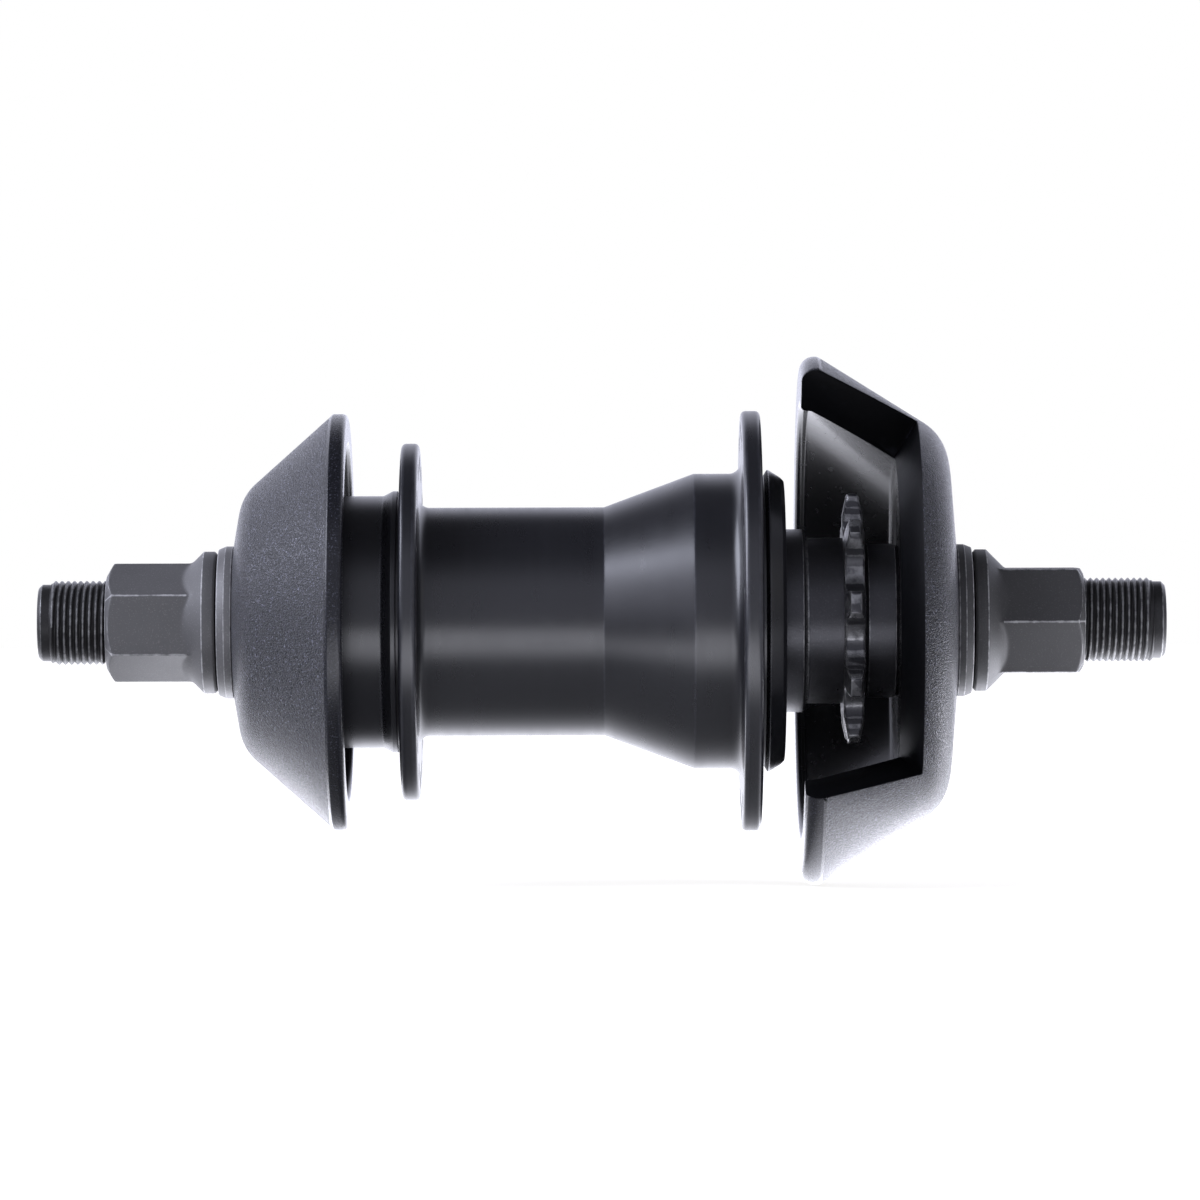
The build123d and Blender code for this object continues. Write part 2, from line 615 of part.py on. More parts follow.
def sprocket():
    """Nine-tooth sprocket: roller seats joined by flank arcs struck from the neighbouring rollers."""
    half_step = pi / TEETH
    pitch_r = CHAIN_PITCH / 2 / sin(half_step)
    flank_r = CHAIN_PITCH - ROLLER_R
    reach = (pitch_r**2 + TOOTH_TIP_R**2 - flank_r**2) / (2 * pitch_r * TOOTH_TIP_R)
    tip_angle = acos(reach)

    def polar(radius, angle):
        return Vector(radius * cos(angle), radius * sin(angle))

    def arc_middle(center, first, last, radius):
        return center + ((first + last) * 0.5 - center).normalized() * radius

    edges = []
    for tooth in range(TEETH):
        angle = 2 * half_step * tooth
        roller = polar(pitch_r, angle)
        before = polar(pitch_r, angle - 2 * half_step)
        after = polar(pitch_r, angle + 2 * half_step)
        seat_start = roller + (before - roller).normalized() * ROLLER_R
        seat_end = roller + (after - roller).normalized() * ROLLER_R
        tip_start = polar(TOOTH_TIP_R, angle + 2 * half_step - tip_angle)
        tip_end = polar(TOOTH_TIP_R, angle + tip_angle)
        next_seat = after + (roller - after).normalized() * ROLLER_R
        edges.append(ThreePointArc(seat_start, polar(pitch_r - ROLLER_R, angle), seat_end))
        edges.append(ThreePointArc(seat_end, arc_middle(after, seat_end, tip_start, flank_r), tip_start))
        edges.append(ThreePointArc(tip_start, polar(TOOTH_TIP_R, angle + half_step), tip_end))
        edges.append(ThreePointArc(tip_end, arc_middle(roller, tip_end, next_seat, flank_r), next_seat))
    toothed = along_x(make_face(edges), SPROCKET_X, SPROCKET_END_X - SPROCKET_X)
    taper = (SPROCKET_END_X - SPROCKET_X - TOOTH_TIP_THICKNESS) / 2
    blank = turned(
        (SPROCKET_X, 0),
        (SPROCKET_X, TOOTH_TAPER_R),
        (SPROCKET_X + taper, TOOTH_TIP_R + TOOTH_BLANK_SPARE),
        (SPROCKET_END_X - taper, TOOTH_TIP_R + TOOTH_BLANK_SPARE),
        (SPROCKET_END_X, TOOTH_TAPER_R),
        (SPROCKET_END_X, 0),
    )
    tooth_from_y = 180 + 360 / TEETH / 2
    return Rot(X=tooth_from_y - TOOTH_TURN) * (toothed & blank)


def driver():
    """Driver in one piece: coarse screw, bearing seat, shoulder, collar, body and sprocket."""
    shoulder_x = SHELL_BEARING_X + SHELL_BEARING_WIDTH
    body = turned(
        (SCREW_END_X, 0),
        (SCREW_END_X, SCREW_ROOT_R),
        (DRIVER_SEAT_START_X, SCREW_ROOT_R),
        (DRIVER_SEAT_START_X, DRIVER_SEAT_R - DRIVER_CHAMFER),
        (DRIVER_SEAT_START_X + DRIVER_CHAMFER, DRIVER_SEAT_R),
        (shoulder_x, DRIVER_SEAT_R),
        (shoulder_x, DRIVER_SHOULDER_R),
        (shoulder_x + DRIVER_SHOULDER_WIDTH, DRIVER_SHOULDER_R),
        (shoulder_x + DRIVER_SHOULDER_WIDTH, DRIVER_COLLAR_R),
        (DRIVER_COLLAR_END_X - DRIVER_CHAMFER, DRIVER_COLLAR_R),
        (DRIVER_COLLAR_END_X, DRIVER_COLLAR_R - DRIVER_CHAMFER),
        (DRIVER_COLLAR_END_X, DRIVER_BODY_R),
        (SPROCKET_X + CUT_OVERRUN, DRIVER_BODY_R),
        (SPROCKET_X + CUT_OVERRUN, 0),
    )
    start_x = driver_start_x()
    cup_end = start_x + NEEDLE_CUP_INSET + NEEDLE_CUP_LENGTH
    bore = turned(
        (start_x - CUT_OVERRUN, 0),
        (start_x - CUT_OVERRUN, NEEDLE_CUP_R),
        (cup_end, NEEDLE_CUP_R),
        (cup_end, DRIVER_BORE_R),
        (DRIVER_BEARING_X, DRIVER_BORE_R),
        (DRIVER_BEARING_X, DRIVER_BEARING_R),
        (SPROCKET_END_X + CUT_OVERRUN, DRIVER_BEARING_R),
        (SPROCKET_END_X + CUT_OVERRUN, 0),
    )
    return screw(start_x, SCREW_END_X) + body + sprocket() - bore


# Needle bearing
def needle_bearing():
    """Drawn-cup needle bearing as a dictionary of its cup, rollers and cage."""
    start_x = driver_start_x() + NEEDLE_CUP_INSET
    end_x = start_x + NEEDLE_CUP_LENGTH
    track_r = NEEDLE_CUP_R - NEEDLE_CUP_WALL
    roller_r = (track_r - SEAT_R) / 2 - NEEDLE_CLEARANCE
    pitch_r = (track_r + SEAT_R) / 2
    lip = NEEDLE_LIP_THICKNESS
    cup = turned(
        (start_x, NEEDLE_LIP_R),
        (start_x + lip, NEEDLE_LIP_R),
        (start_x + lip, track_r),
        (end_x - lip, track_r),
        (end_x - lip, NEEDLE_LIP_R),
        (end_x, NEEDLE_LIP_R),
        (end_x, NEEDLE_CUP_R),
        (start_x, NEEDLE_CUP_R),
    )
    cage_start = start_x + lip + NEEDLE_END_CLEARANCE
    cage_end = end_x - lip - NEEDLE_END_CLEARANCE
    length = cage_end - cage_start - 2 * NEEDLE_CAGE_BAR
    middle = Plane(origin=(cage_start + NEEDLE_CAGE_BAR, 0, pitch_r), z_dir=(1, 0, 0))
    roller = extrude(middle * Circle(roller_r), length)
    pocket = extrude(middle * Circle(roller_r + CAGE_CLEARANCE), length)
    cage = ring(cage_start, cage_end, pitch_r - roller_r / 2, pitch_r + roller_r / 2)
    cage -= around(pocket, NEEDLE_COUNT)
    return {"cup": cup, "rollers": around(roller, NEEDLE_COUNT), "cage": cage}


# Clutch
def race_r(x):
    """Radius of the tapered race at a place along the axle."""
    share = (x - RACE_START_X) / (RACE_TAPER_END_X - RACE_START_X)
    return RACE_MOUTH_R + (RACE_THROAT_R - RACE_MOUTH_R) * share


def clutch_race():
    """Hardened ring that lies between the shell's step and the large bearing."""
    return turned(
        (RACE_START_X, RACE_MOUTH_R),
        (RACE_TAPER_END_X, RACE_THROAT_R),
        (RACE_TAPER_END_X, RACE_MOUTH_R),
        (SHELL_BEARING_X, RACE_MOUTH_R + CLUTCH_CONTACT_CLEARANCE),
        (SHELL_BEARING_X, SHELL_BEARING_R),
        (RACE_START_X, SHELL_BEARING_R),
    )


def clutch():
    """Clutch cone at rest: threaded bore, skirt with a slot for the spring's ears, and outer taper."""
    screw_start = slack_stop_x() + CLUTCH_STOP_GAP
    cone_r = race_r(CLUTCH_CONE_START_X + CLUTCH_TRAVEL) - CLUTCH_CONTACT_CLEARANCE
    end_r = race_r(CLUTCH_END_X + CLUTCH_TRAVEL) - CLUTCH_CONTACT_CLEARANCE
    body = turned(
        (CLUTCH_SKIRT_START_X, CLUTCH_SKIRT_BORE_R),
        (CLUTCH_SKIRT_START_X, CLUTCH_SKIRT_R),
        (CLUTCH_NECK_END_X, CLUTCH_SKIRT_R),
        (CLUTCH_CONE_START_X, cone_r),
        (CLUTCH_END_X, end_r),
        (CLUTCH_END_X, SCREW_ROOT_R - CUT_OVERRUN),
        (screw_start, SCREW_ROOT_R - CUT_OVERRUN),
        (screw_start, CLUTCH_SKIRT_BORE_R),
    )
    body -= screw(
        screw_start - CUT_OVERRUN,
        CLUTCH_END_X + CUT_OVERRUN,
        SCREW_RADIAL_CLEARANCE,
        SCREW_FLANK_CLEARANCE,
    )
    slot_length = CLUTCH_SLOT_END_X - CLUTCH_SKIRT_START_X + CUT_OVERRUN
    slot_height = 2 * (CLUTCH_SKIRT_R - SLEEVE_R - SPRING_THICKNESS)
    slot = Pos(CLUTCH_SLOT_END_X - slot_length / 2, 0, CLUTCH_SKIRT_R) * Box(
        slot_length, CLUTCH_SLOT_WIDTH, slot_height
    )
    return body - slot


def drag_spring():
    """Open ring spring with two ears turned out beside its gap."""
    inner_r = SLEEVE_R + SPRING_GRIP_CLEARANCE
    outer_r = inner_r + SPRING_THICKNESS
    end_x = SPRING_X + SPRING_WIDTH
    middle_x = (SPRING_X + end_x) / 2
    ear_outer = CLUTCH_SLOT_WIDTH / 2 - SPRING_EAR_CLEARANCE
    gap = 2 * (ear_outer - SPRING_EAR_WIDTH)
    band = ring(SPRING_X, end_x, inner_r, outer_r)
    ears = Pos(middle_x, 0, (SPRING_EAR_R + inner_r) / 2) * Box(
        SPRING_WIDTH, 2 * ear_outer, SPRING_EAR_R - inner_r
    )
    ears -= turned((SPRING_X - 1, 0), (end_x + 1, 0), (end_x + 1, inner_r), (SPRING_X - 1, inner_r))
    opening = Pos(middle_x, 0, SPRING_EAR_R) * Box(SPRING_WIDTH + 1, gap, SPRING_EAR_R)
    return band + ears - opening


def friction_sleeve():
    """Fixed sleeve between the axle's collar and the slack washers."""
    return ring(SLEEVE_START_X, SLEEVE_END_X, SEAT_R + BORE_PLAY, SLEEVE_R, RACE_CHAMFER)


def slack_washers():
    """Thin washers stacked on the axle between the sleeve and the driver."""
    pitch = SLACK_WASHER_THICKNESS + SLACK_WASHER_PLAY
    return [
        ring(
            SLEEVE_END_X + pitch * index + SLACK_WASHER_PLAY,
            SLEEVE_END_X + pitch * (index + 1),
            SEAT_R + SLACK_WASHER_PLAY,
            SLACK_WASHER_R,
        )
        for index in range(SLACK_WASHER_COUNT)
    ]


# Cone nuts and locknuts
def nds_cone():
    """Round cone nut that bears on the plain-side inner race."""
    bore_r = THREAD_ENGAGED_R + THREAD_PLAY
    return turned(
        (NDS_LOCKNUT_X, bore_r),
        (NDS_LOCKNUT_X, NDS_CONE_R - CONE_CHAMFER),
        (NDS_LOCKNUT_X + CONE_CHAMFER, NDS_CONE_R),
        (NDS_CONE_START_X - CONE_CHAMFER, NDS_CONE_R),
        (NDS_CONE_START_X, NDS_CONE_R - CONE_CHAMFER),
        (NDS_CONE_START_X, CONE_NOSE_R),
        (NDS_BEARING_X, CONE_NOSE_R),
        (NDS_BEARING_X, bore_r),
    )


def ds_cone():
    """Round cone nut that bears on the driver bearing's inner race and fills the space to the guard."""
    bore_r = THREAD_ENGAGED_R + THREAD_PLAY
    nose_x = DRIVER_BEARING_X + DRIVER_BEARING_WIDTH
    drum_x = SPROCKET_END_X + DS_CONE_GAP
    return turned(
        (nose_x, bore_r),
        (nose_x, CONE_NOSE_R),
        (drum_x, CONE_NOSE_R),
        (drum_x, DS_CONE_R - CONE_CHAMFER),
        (drum_x + CONE_CHAMFER, DS_CONE_R),
        (DS_LOCKNUT_X - CONE_CHAMFER, DS_CONE_R),
        (DS_LOCKNUT_X, DS_CONE_R - CONE_CHAMFER),
        (DS_LOCKNUT_X, bore_r),
    )


def locknut(start_x, end_x):
    """Hexagon locknut with both ends chamfered."""
    nut = hexagon_nut(start_x, end_x, LOCKNUT_ACROSS_FLATS, LOCKNUT_CHAMFER, 0)
    bore_r = THREAD_ENGAGED_R + THREAD_PLAY
    return nut - turned((start_x - 1, 0), (end_x + 1, 0), (end_x + 1, bore_r), (start_x - 1, bore_r))


def save(name, shape):
    """Write one node, as a group where it is made of several solids."""
    solids = shape if isinstance(shape, list) else shape.solids()
    export_step(Compound(children=list(solids)) if len(solids) > 1 else solids[0], f"parts/{name}.step")


def build():
    """Make and write every node."""
    os.makedirs("parts", exist_ok=True)
    nodes = {
        "axle": axle(),
        "nds_axle_nut": axle_nut(-1, NDS_NUT_TURN),
        "ds_axle_nut": axle_nut(1, DS_NUT_TURN),
        "nds_washer": dropout_washer(-1),
        "ds_washer": dropout_washer(1),
        "nds_guard": nds_guard(),
        "ds_guard": ds_guard(),
        "nds_cone": nds_cone(),
        "ds_cone": ds_cone(),
        "nds_locknut": locknut(-LOCKNUT_FACE_X, NDS_LOCKNUT_X),
        "ds_locknut": locknut(DS_LOCKNUT_X, LOCKNUT_FACE_X),
        "friction_sleeve": friction_sleeve(),
        "slack_washers": slack_washers(),
        "hub_shell": hub_shell(),
        "clutch_race": clutch_race(),
        "driver": driver(),
        "clutch": clutch(),
        "drag_spring": drag_spring(),
    }
    bearings = {
        "nds_bearing": cartridge_bearing(
            NDS_BEARING_X, NDS_BEARING_WIDTH, SEAT_R, NDS_BEARING_R, NDS_BALL_R, NDS_BALLS
        ),
        "shell_bearing": cartridge_bearing(
            SHELL_BEARING_X, SHELL_BEARING_WIDTH, DRIVER_SEAT_R, SHELL_BEARING_R, SHELL_BALL_R, SHELL_BALLS
        ),
        "driver_bearing": cartridge_bearing(
            DRIVER_BEARING_X, DRIVER_BEARING_WIDTH, SEAT_R, DRIVER_BEARING_R, DRIVER_BALL_R, DRIVER_BALLS
        ),
        "needle": needle_bearing(),
    }
    for bearing, pieces in bearings.items():
        for piece, shape in pieces.items():
            nodes[f"{bearing}_{piece}"] = shape
    for name, shape in nodes.items():
        save(name, shape)


build()
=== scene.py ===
"""Looks of a freecoaster hub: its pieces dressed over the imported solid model, in a plain studio."""

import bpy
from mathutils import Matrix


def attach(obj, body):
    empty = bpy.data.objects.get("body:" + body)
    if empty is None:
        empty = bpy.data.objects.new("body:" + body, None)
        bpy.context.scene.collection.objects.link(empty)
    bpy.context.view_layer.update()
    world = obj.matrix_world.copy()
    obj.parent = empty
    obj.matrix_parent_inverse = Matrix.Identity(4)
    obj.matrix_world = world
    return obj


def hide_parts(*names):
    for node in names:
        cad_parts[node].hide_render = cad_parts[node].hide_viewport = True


bl_info = {
    "name": "Freecoaster hub",
    "version": (1, 0, 0),
    "blender": (4, 5, 0),
    "location": "View3D > Sidebar > Hub",
    "description": "Builds the visible pieces of a freecoaster hub and a plain studio round them",
    "category": "Object",
}

from math import acos, atan, cos, exp, pi, radians, sin, sqrt, tan

import bmesh
import bpy
from bpy.props import FloatProperty, FloatVectorProperty, IntProperty, PointerProperty
from mathutils import Vector

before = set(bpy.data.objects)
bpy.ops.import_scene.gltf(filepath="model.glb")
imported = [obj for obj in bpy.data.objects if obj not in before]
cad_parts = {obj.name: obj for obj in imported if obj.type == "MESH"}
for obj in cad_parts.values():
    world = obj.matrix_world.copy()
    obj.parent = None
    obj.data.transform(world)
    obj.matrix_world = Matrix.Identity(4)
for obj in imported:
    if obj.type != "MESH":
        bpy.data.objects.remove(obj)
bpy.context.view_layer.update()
MM = 0.001

# Sizes shared with the solid model, in millimetres. X runs along the axle and R is a radius about
# it. DS is the drive side, at the right, and NDS is the plain side.
GUARD_FACE_X = 59.2
LOCKNUT_FACE_X = 55.0
CONE_OUTER_X = 49.6

# Axle
AXLE_TIP_X = (-91.4, 93.6)
THREAD_R = 6.9
ENGAGED_R = 6.68
SEAT_R = 7.5
SEAT_X = (-44.4, 43.5)
COLLAR_X = (-35.5, -34.0)
COLLAR_R = 9.2
TIP_R = 6.3
TIP_LENGTH = 2.0
TIP_CHAMFER = 0.6
TIP_ROUND = 0.15
THREAD_RUNOUT = 0.1

# Axle nuts
NUT_INNER_X = 62.1
NUT_OUTER_X = 80.2
NUT_ACROSS_FLATS = 17.0
NUT_BORE_R = 6.7
NUT_FLANGE_R = 11.65
NUT_FLANGE_THICKNESS = 2.15
NUT_TURNS = (2.5, 31.6)
NUT_END_R = 7.65
NUT_CHAMFER_ANGLE = 60.0
NUT_CHAMFER_FILLET = 0.14
NUT_CHAMFER_REACH = 1.6
NUT_CONE_CLEARANCE = 0.4
NUT_END_STEP = 0.06
NUT_END_WEAR = 0.1
NUT_ROW_GAP = 0.1
CORNER_WEAR_DEGREES = 2.2
RIM_WEAR_WIDTH = 0.22
THREAD_START_X = NUT_OUTER_X - 0.5

# Columns of a nut's mesh, in degrees from the middle of a flat, and its rows, below the outer face
NUT_COLUMNS = (0.0, 8.0, 16.0, 21.0, 24.5, 26.8, 28.0, 28.52, 28.95, 29.4, 29.75, 30.0)
NUT_ROWS = (
    *(0.0, 0.06, 0.14, 0.24, 0.36, 0.5, 0.64, 0.78, 0.9, 1.02, 1.2, 1.6, 2.6, 4.5, 6.5, 8.5, 10.0),
    *(10.8 + 0.24 * step for step in range(24)),
)

# Washers
WASHER_X = (59.3, 61.8)
WASHER_R = 12.5
WASHER_BEVEL = (1.25, 0.5)
WASHER_BORE_R = 7.25

# Guards: slope in degrees, wall across the slope, corners and rounds of each bowl's section
GUARD_BORE_R = 7.2
GUARD_EDGE = (13.0, 1.6)
NDS_BOWL = {
    "slope": 41.7,
    "wall": 4.4,
    "shoulder": (57.8, 20.9),
    "foot_x": 43.4,
    "lip": (42.95, 34.2),
    "rim_x": 40.5,
    "floor_x": LOCKNUT_FACE_X,
    "rounds": (8.0, 0.8, 0.6, 0.4, 2.5),
}
DS_BOWL = {
    "slope": 32.0,
    "wall": 7.6,
    "shoulder": (57.65, 30.25),
    "foot_x": 37.0,
    "lip": (36.55, 43.4),
    "rim_x": 33.7,
    "floor_x": CONE_OUTER_X,
    "rounds": (8.5, 2.3, 0.9, 0.6, 1.5),
}
DS_POCKET_R = 11.6

# Chain window: each long side as (height on the axle's plane, slope in degrees), and its far end
WINDOW_LOWER = (-17.3, 18.5)
WINDOW_UPPER = (25.8, 45.0)
WINDOW_END = ((49.2, 26.4), (52.8, 33.3))
WINDOW_CUT_X = (28.0, 60.0)
WINDOW_CUT_DEPTH = (-1.0, 50.0)
WINDOW_CUT_R = 70.0

# Shell. A flange is (start x, thickness, radius).
BARREL_R = 18.75
NDS_FLANGE = (-31.7, 2.9, 29.3)
DS_FLANGE = (24.0, 3.1, 34.5)
FLANGE_ROUND = 0.75
SPOKE_COUNT = 18
SPOKE_HOLE_R = 1.3
SPOKE_EDGE = 3.3
SPOKE_COUNTERSINK = 0.35

# Driver
SCREW_SPAN = (3.1, 20.5)
SCREW_OVERLAP = 0.4
SCREW_ROOT_R = 12.0
SCREW_CREST_R = 13.6
SCREW_LEAD = 20.0
SCREW_STARTS = 6
SPROCKET_SPAN = (40.6, 44.0)
SPROCKET_TEETH = 9
CHAIN_PITCH = 12.7
ROLLER_R = 3.95
TOOTH_TIP_R = 20.9
TOOTH_TAPER_R = 17.3
TOOTH_TIP_THICKNESS = 1.9
TOOTH_TURN = 8.0

# Fineness of the meshes
ARC_STEPS = 4
ARC_STEP_ANGLE = radians(5)
SMALL_ROUND_R = 1.2
EDGE_MARGIN = 0.35
MARGIN_SHARE = 0.3
SPARE_SHARE = 0.96
BEVEL_SEGMENTS = 2
SHARP_ANGLE = radians(40)
DRIVER_SHARP_ANGLE = radians(20)
WINDOW_FOLD = radians(38)
WORN_FOLD = radians(33)
WORN_THREAD_SHARE = 0.9
NARROW_FACE = 0.6 * MM
MERGE_DISTANCE = 1e-6
CUT_MERGE_DISTANCE = 0.00002
TO_AXLE = (pi / 2, 0.0, pi / 2)


class HubSizes(bpy.types.PropertyGroup):
    """Sizes of the fine detail."""

    segments: IntProperty(
        name="Segments", description="Faces round a turned piece", default=176, min=24
    )
    thread_pitch: FloatProperty(
        name="Thread pitch",
        description="Pitch of the axle thread",
        default=0.00102,
        unit="LENGTH",
        precision=5,
    )
    thread_depth: FloatProperty(
        name="Thread depth",
        description="Depth of the axle thread",
        default=0.00042,
        unit="LENGTH",
        precision=5,
    )
    nut_corner: FloatProperty(
        name="Nut corner",
        description="Rounding of a nut's corners",
        default=0.0005,
        unit="LENGTH",
        precision=5,
    )
    nut_cove: FloatProperty(
        name="Nut cove",
        description="Fillet between a nut's hexagon and cone",
        default=0.0005,
        unit="LENGTH",
        precision=5,
    )
    cut_edge: FloatProperty(
        name="Window edge",
        description="Rounding of the chain window's edges",
        default=0.0002,
        unit="LENGTH",
        precision=5,
    )
    tooth_edge: FloatProperty(
        name="Tooth edge",
        description="Rounding of the sprocket's edges",
        default=0.0004,
        unit="LENGTH",
        precision=5,
    )


class HubFinishes(bpy.types.PropertyGroup):
    """Colours of the pieces."""

    shell: FloatVectorProperty(
        name="Shell",
        description="Anodised shell",
        subtype="COLOR",
        default=(0.009, 0.0092, 0.0112),
    )
    guard: FloatVectorProperty(
        name="Guard",
        description="Moulded guard",
        subtype="COLOR",
        default=(0.0056, 0.0058, 0.0074),
    )
    phosphate: FloatVectorProperty(
        name="Nuts and axle",
        description="Phosphated steel",
        subtype="COLOR",
        default=(0.08, 0.079, 0.079),
    )
    oxide: FloatVectorProperty(
        name="Driver", description="Blacked steel", subtype="COLOR", default=(0.045, 0.045, 0.049)
    )
    worn: FloatVectorProperty(
        name="Worn edges",
        description="Steel rubbed bare",
        subtype="COLOR",
        default=(0.42, 0.42, 0.42),
    )
    bright: FloatVectorProperty(
        name="Bearing steel",
        description="Ground bearing steel",
        subtype="COLOR",
        default=(0.42, 0.42, 0.43),
    )


class HubStudio(bpy.types.PropertyGroup):
    """Camera and lights."""

    distance: FloatProperty(
        name="Distance",
        description="From the camera to the axle line",
        default=1.185,
        unit="LENGTH",
    )
    lens: FloatProperty(name="Lens", description="Focal length in millimetres", default=216.15)
    key: FloatProperty(
        name="Key light", description="Power of the left softbox", default=10.0, unit="POWER"
    )
    fill: FloatProperty(
        name="Fill light", description="Power of the right softbox", default=0.3, unit="POWER"
    )


# Turned meshes
def outline_points(corners):
    """Corners (x, radius[, round]) of a closed outline as points (x, radius, wear).

    Wear is 1 on a small round and 0 elsewhere.
    """
    count = len(corners)
    spots = [Vector(corner[:2]) for corner in corners]
    sides = [spots[(index + 1) % count] - spots[index] for index in range(count)]
    reaches = []
    for index, corner in enumerate(corners):
        half = (-sides[index - 1]).angle(sides[index]) / 2
        reaches.append((corner[2] if len(corner) > 2 else 0.0) / tan(half))
    for index, side in enumerate(sides):
        after = (index + 1) % count
        spare = SPARE_SHARE * side.length / max(reaches[index] + reaches[after], MERGE_DISTANCE)
        if spare < 1:
            reaches[index] *= spare
            reaches[after] *= spare
    points = []
    for index, here in enumerate(spots):
        reach = reaches[index]
        if reach <= 0:
            points.append((here.x, here.y, 0.0))
            continue
        before = -sides[index - 1].normalized()
        after = sides[index].normalized()
        half = before.angle(after) / 2
        radius = reach * tan(half)
        centre = here + (before + after).normalized() * (radius / sin(half))
        first = here + before * reach - centre
        last = here + after * reach - centre
        sweep = first.angle(last)
        small = radius <= SMALL_ROUND_R
        steps = ARC_STEPS if small else max(ARC_STEPS, round(sweep / ARC_STEP_ANGLE))
        wear = 1.0 if radius < SMALL_ROUND_R else 0.0
        free = (
            sides[index - 1].length - reach - reaches[index - 1],
            sides[index].length - reach - reaches[(index + 1) % count],
        )
        margins = [min(EDGE_MARGIN, MARGIN_SHARE * length) for length in free]
        rim = here + before * (reach + margins[0])
        points.append((rim.x, rim.y, 0.0))
        for step in range(steps + 1):
            share = step / steps
            spoke = (first * sin((1 - share) * sweep) + last * sin(share * sweep)) / sin(sweep)
            points.append((centre.x + spoke.x, centre.y + spoke.y, wear))
        rim = here + after * (reach + margins[1])
        points.append((rim.x, rim.y, 0.0))
    return points


def shaded(mesh, angle=SHARP_ANGLE):
    """Shade a mesh smoothly between its sharp edges."""
    mesh.shade_smooth()
    mesh.set_sharp_from_angle(angle=angle)
    return mesh


def cleaned(mesh):
    """Merge doubled points, turn the faces outwards and shade the mesh."""
    work = bmesh.new()
    work.from_mesh(mesh)
    bmesh.ops.remove_doubles(work, verts=work.verts, dist=MERGE_DISTANCE)
    bmesh.ops.dissolve_degenerate(work, edges=work.edges, dist=MERGE_DISTANCE)
    bmesh.ops.recalc_face_normals(work, faces=work.faces)
    work.to_mesh(mesh)
    work.free()
    return shaded(mesh)


def closed_mesh(name, rows):
    """Mesh from rings of (x, y, z, wear) points in millimetres, joined to a closed skin."""
    count = len(rows[0])
    mesh = bpy.data.meshes.new(name)
    points = [point for row in rows for point in row]
    faces = []
    for row in range(len(rows)):
        here = row * count
        there = (row + 1) % len(rows) * count
        for index in range(count):
            after = (index + 1) % count
            faces.append((here + index, there + index, there + after, here + after))
    mesh.from_pydata([(p[0] * MM, p[1] * MM, p[2] * MM) for p in points], [], faces)
    wear = mesh.attributes.new("edge_wear", "FLOAT", "POINT")
    wear.data.foreach_set("value", [float(p[3]) for p in points])
    return cleaned(mesh)


def turned_mesh(name, corners):
    """Closed mesh turned about the axle line."""
    segments = bpy.context.scene.hub_sizes.segments
    outline = outline_points(corners)
    rows = []
    for index in range(segments):
        angle = 2 * pi * index / segments
        rows.append([(x, r * cos(angle), r * sin(angle), wear) for x, r, wear in outline])
    return closed_mesh(name, rows)


def rubbed(mesh):
    """Mark ridges between two narrow faces as worn, beside the rounds that are marked already."""
    work = bmesh.new()
    work.from_mesh(mesh)
    worn = [0.0] * len(work.verts)
    if "edge_wear" in mesh.attributes:
        mesh.attributes["edge_wear"].data.foreach_get("value", worn)
        mesh.attributes.remove(mesh.attributes["edge_wear"])
    for edge in work.edges:
        if not edge.is_manifold or not edge.is_convex or edge.calc_face_angle(0.0) < WORN_FOLD:
            continue
        along_axle = abs((edge.verts[0].co - edge.verts[1].co).x) > 0.5 * edge.calc_length()
        if along_axle:
            continue
        if all(face.calc_area() < NARROW_FACE * edge.calc_length() for face in edge.link_faces):
            for point in edge.verts:
                worn[point.index] = 1.0
    work.free()
    mesh.attributes.new("edge_wear", "FLOAT", "POINT").data.foreach_set("value", worn)
    return mesh


def mirrored(corners):
    """The same outline on the other side of the origin."""
    return [(-corner[0], *corner[1:]) for corner in corners]


def scratch_object(mesh):
    """Object that only serves while a mesh is made."""
    holder = bpy.data.objects.new(mesh.name, mesh)
    bpy.context.scene.collection.objects.link(holder)
    return holder


def evaluated_mesh(holder, name):
    """Plain mesh of an object with its modifiers; the object is removed."""
    bpy.context.view_layer.update()
    shown = holder.evaluated_get(bpy.context.evaluated_depsgraph_get())
    mesh = bpy.data.meshes.new_from_object(shown)
    mesh.name = name
    bpy.data.objects.remove(holder)
    return mesh


def combined(name, mesh, operations):
    """Mesh after exact booleans, given as (operation, mesh) pairs."""
    holder = scratch_object(mesh)
    others = []
    for operation, other in operations:
        others.append(scratch_object(other))
        modifier = holder.modifiers.new(operation, "BOOLEAN")
        modifier.operation = operation
        modifier.solver = "EXACT"
        modifier.object = others[-1]
    result = evaluated_mesh(holder, name)
    for other in others:
        bpy.data.objects.remove(other)
    return result


def bevelled(name, mesh, width, fold, clamp=True):
    """Mesh with rounds on its edges that fold more than that angle."""
    holder = scratch_object(mesh)
    edges = holder.modifiers.new("Edges", "BEVEL")
    edges.width = width
    edges.segments = BEVEL_SEGMENTS
    edges.limit_method = "ANGLE"
    edges.angle_limit = fold
    edges.use_clamp_overlap = clamp
    return evaluated_mesh(holder, name)


def add_piece(name, mesh, body, materials, stands_for=()):
    """Put a finished mesh in the scene as a piece that rides on a body."""
    mesh.materials.clear()
    for material in materials:
        mesh.materials.append(material)
    piece = bpy.data.objects.new(name, mesh)
    bpy.context.scene.collection.objects.link(piece)
    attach(piece, body)
    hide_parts(*stands_for)
    return piece


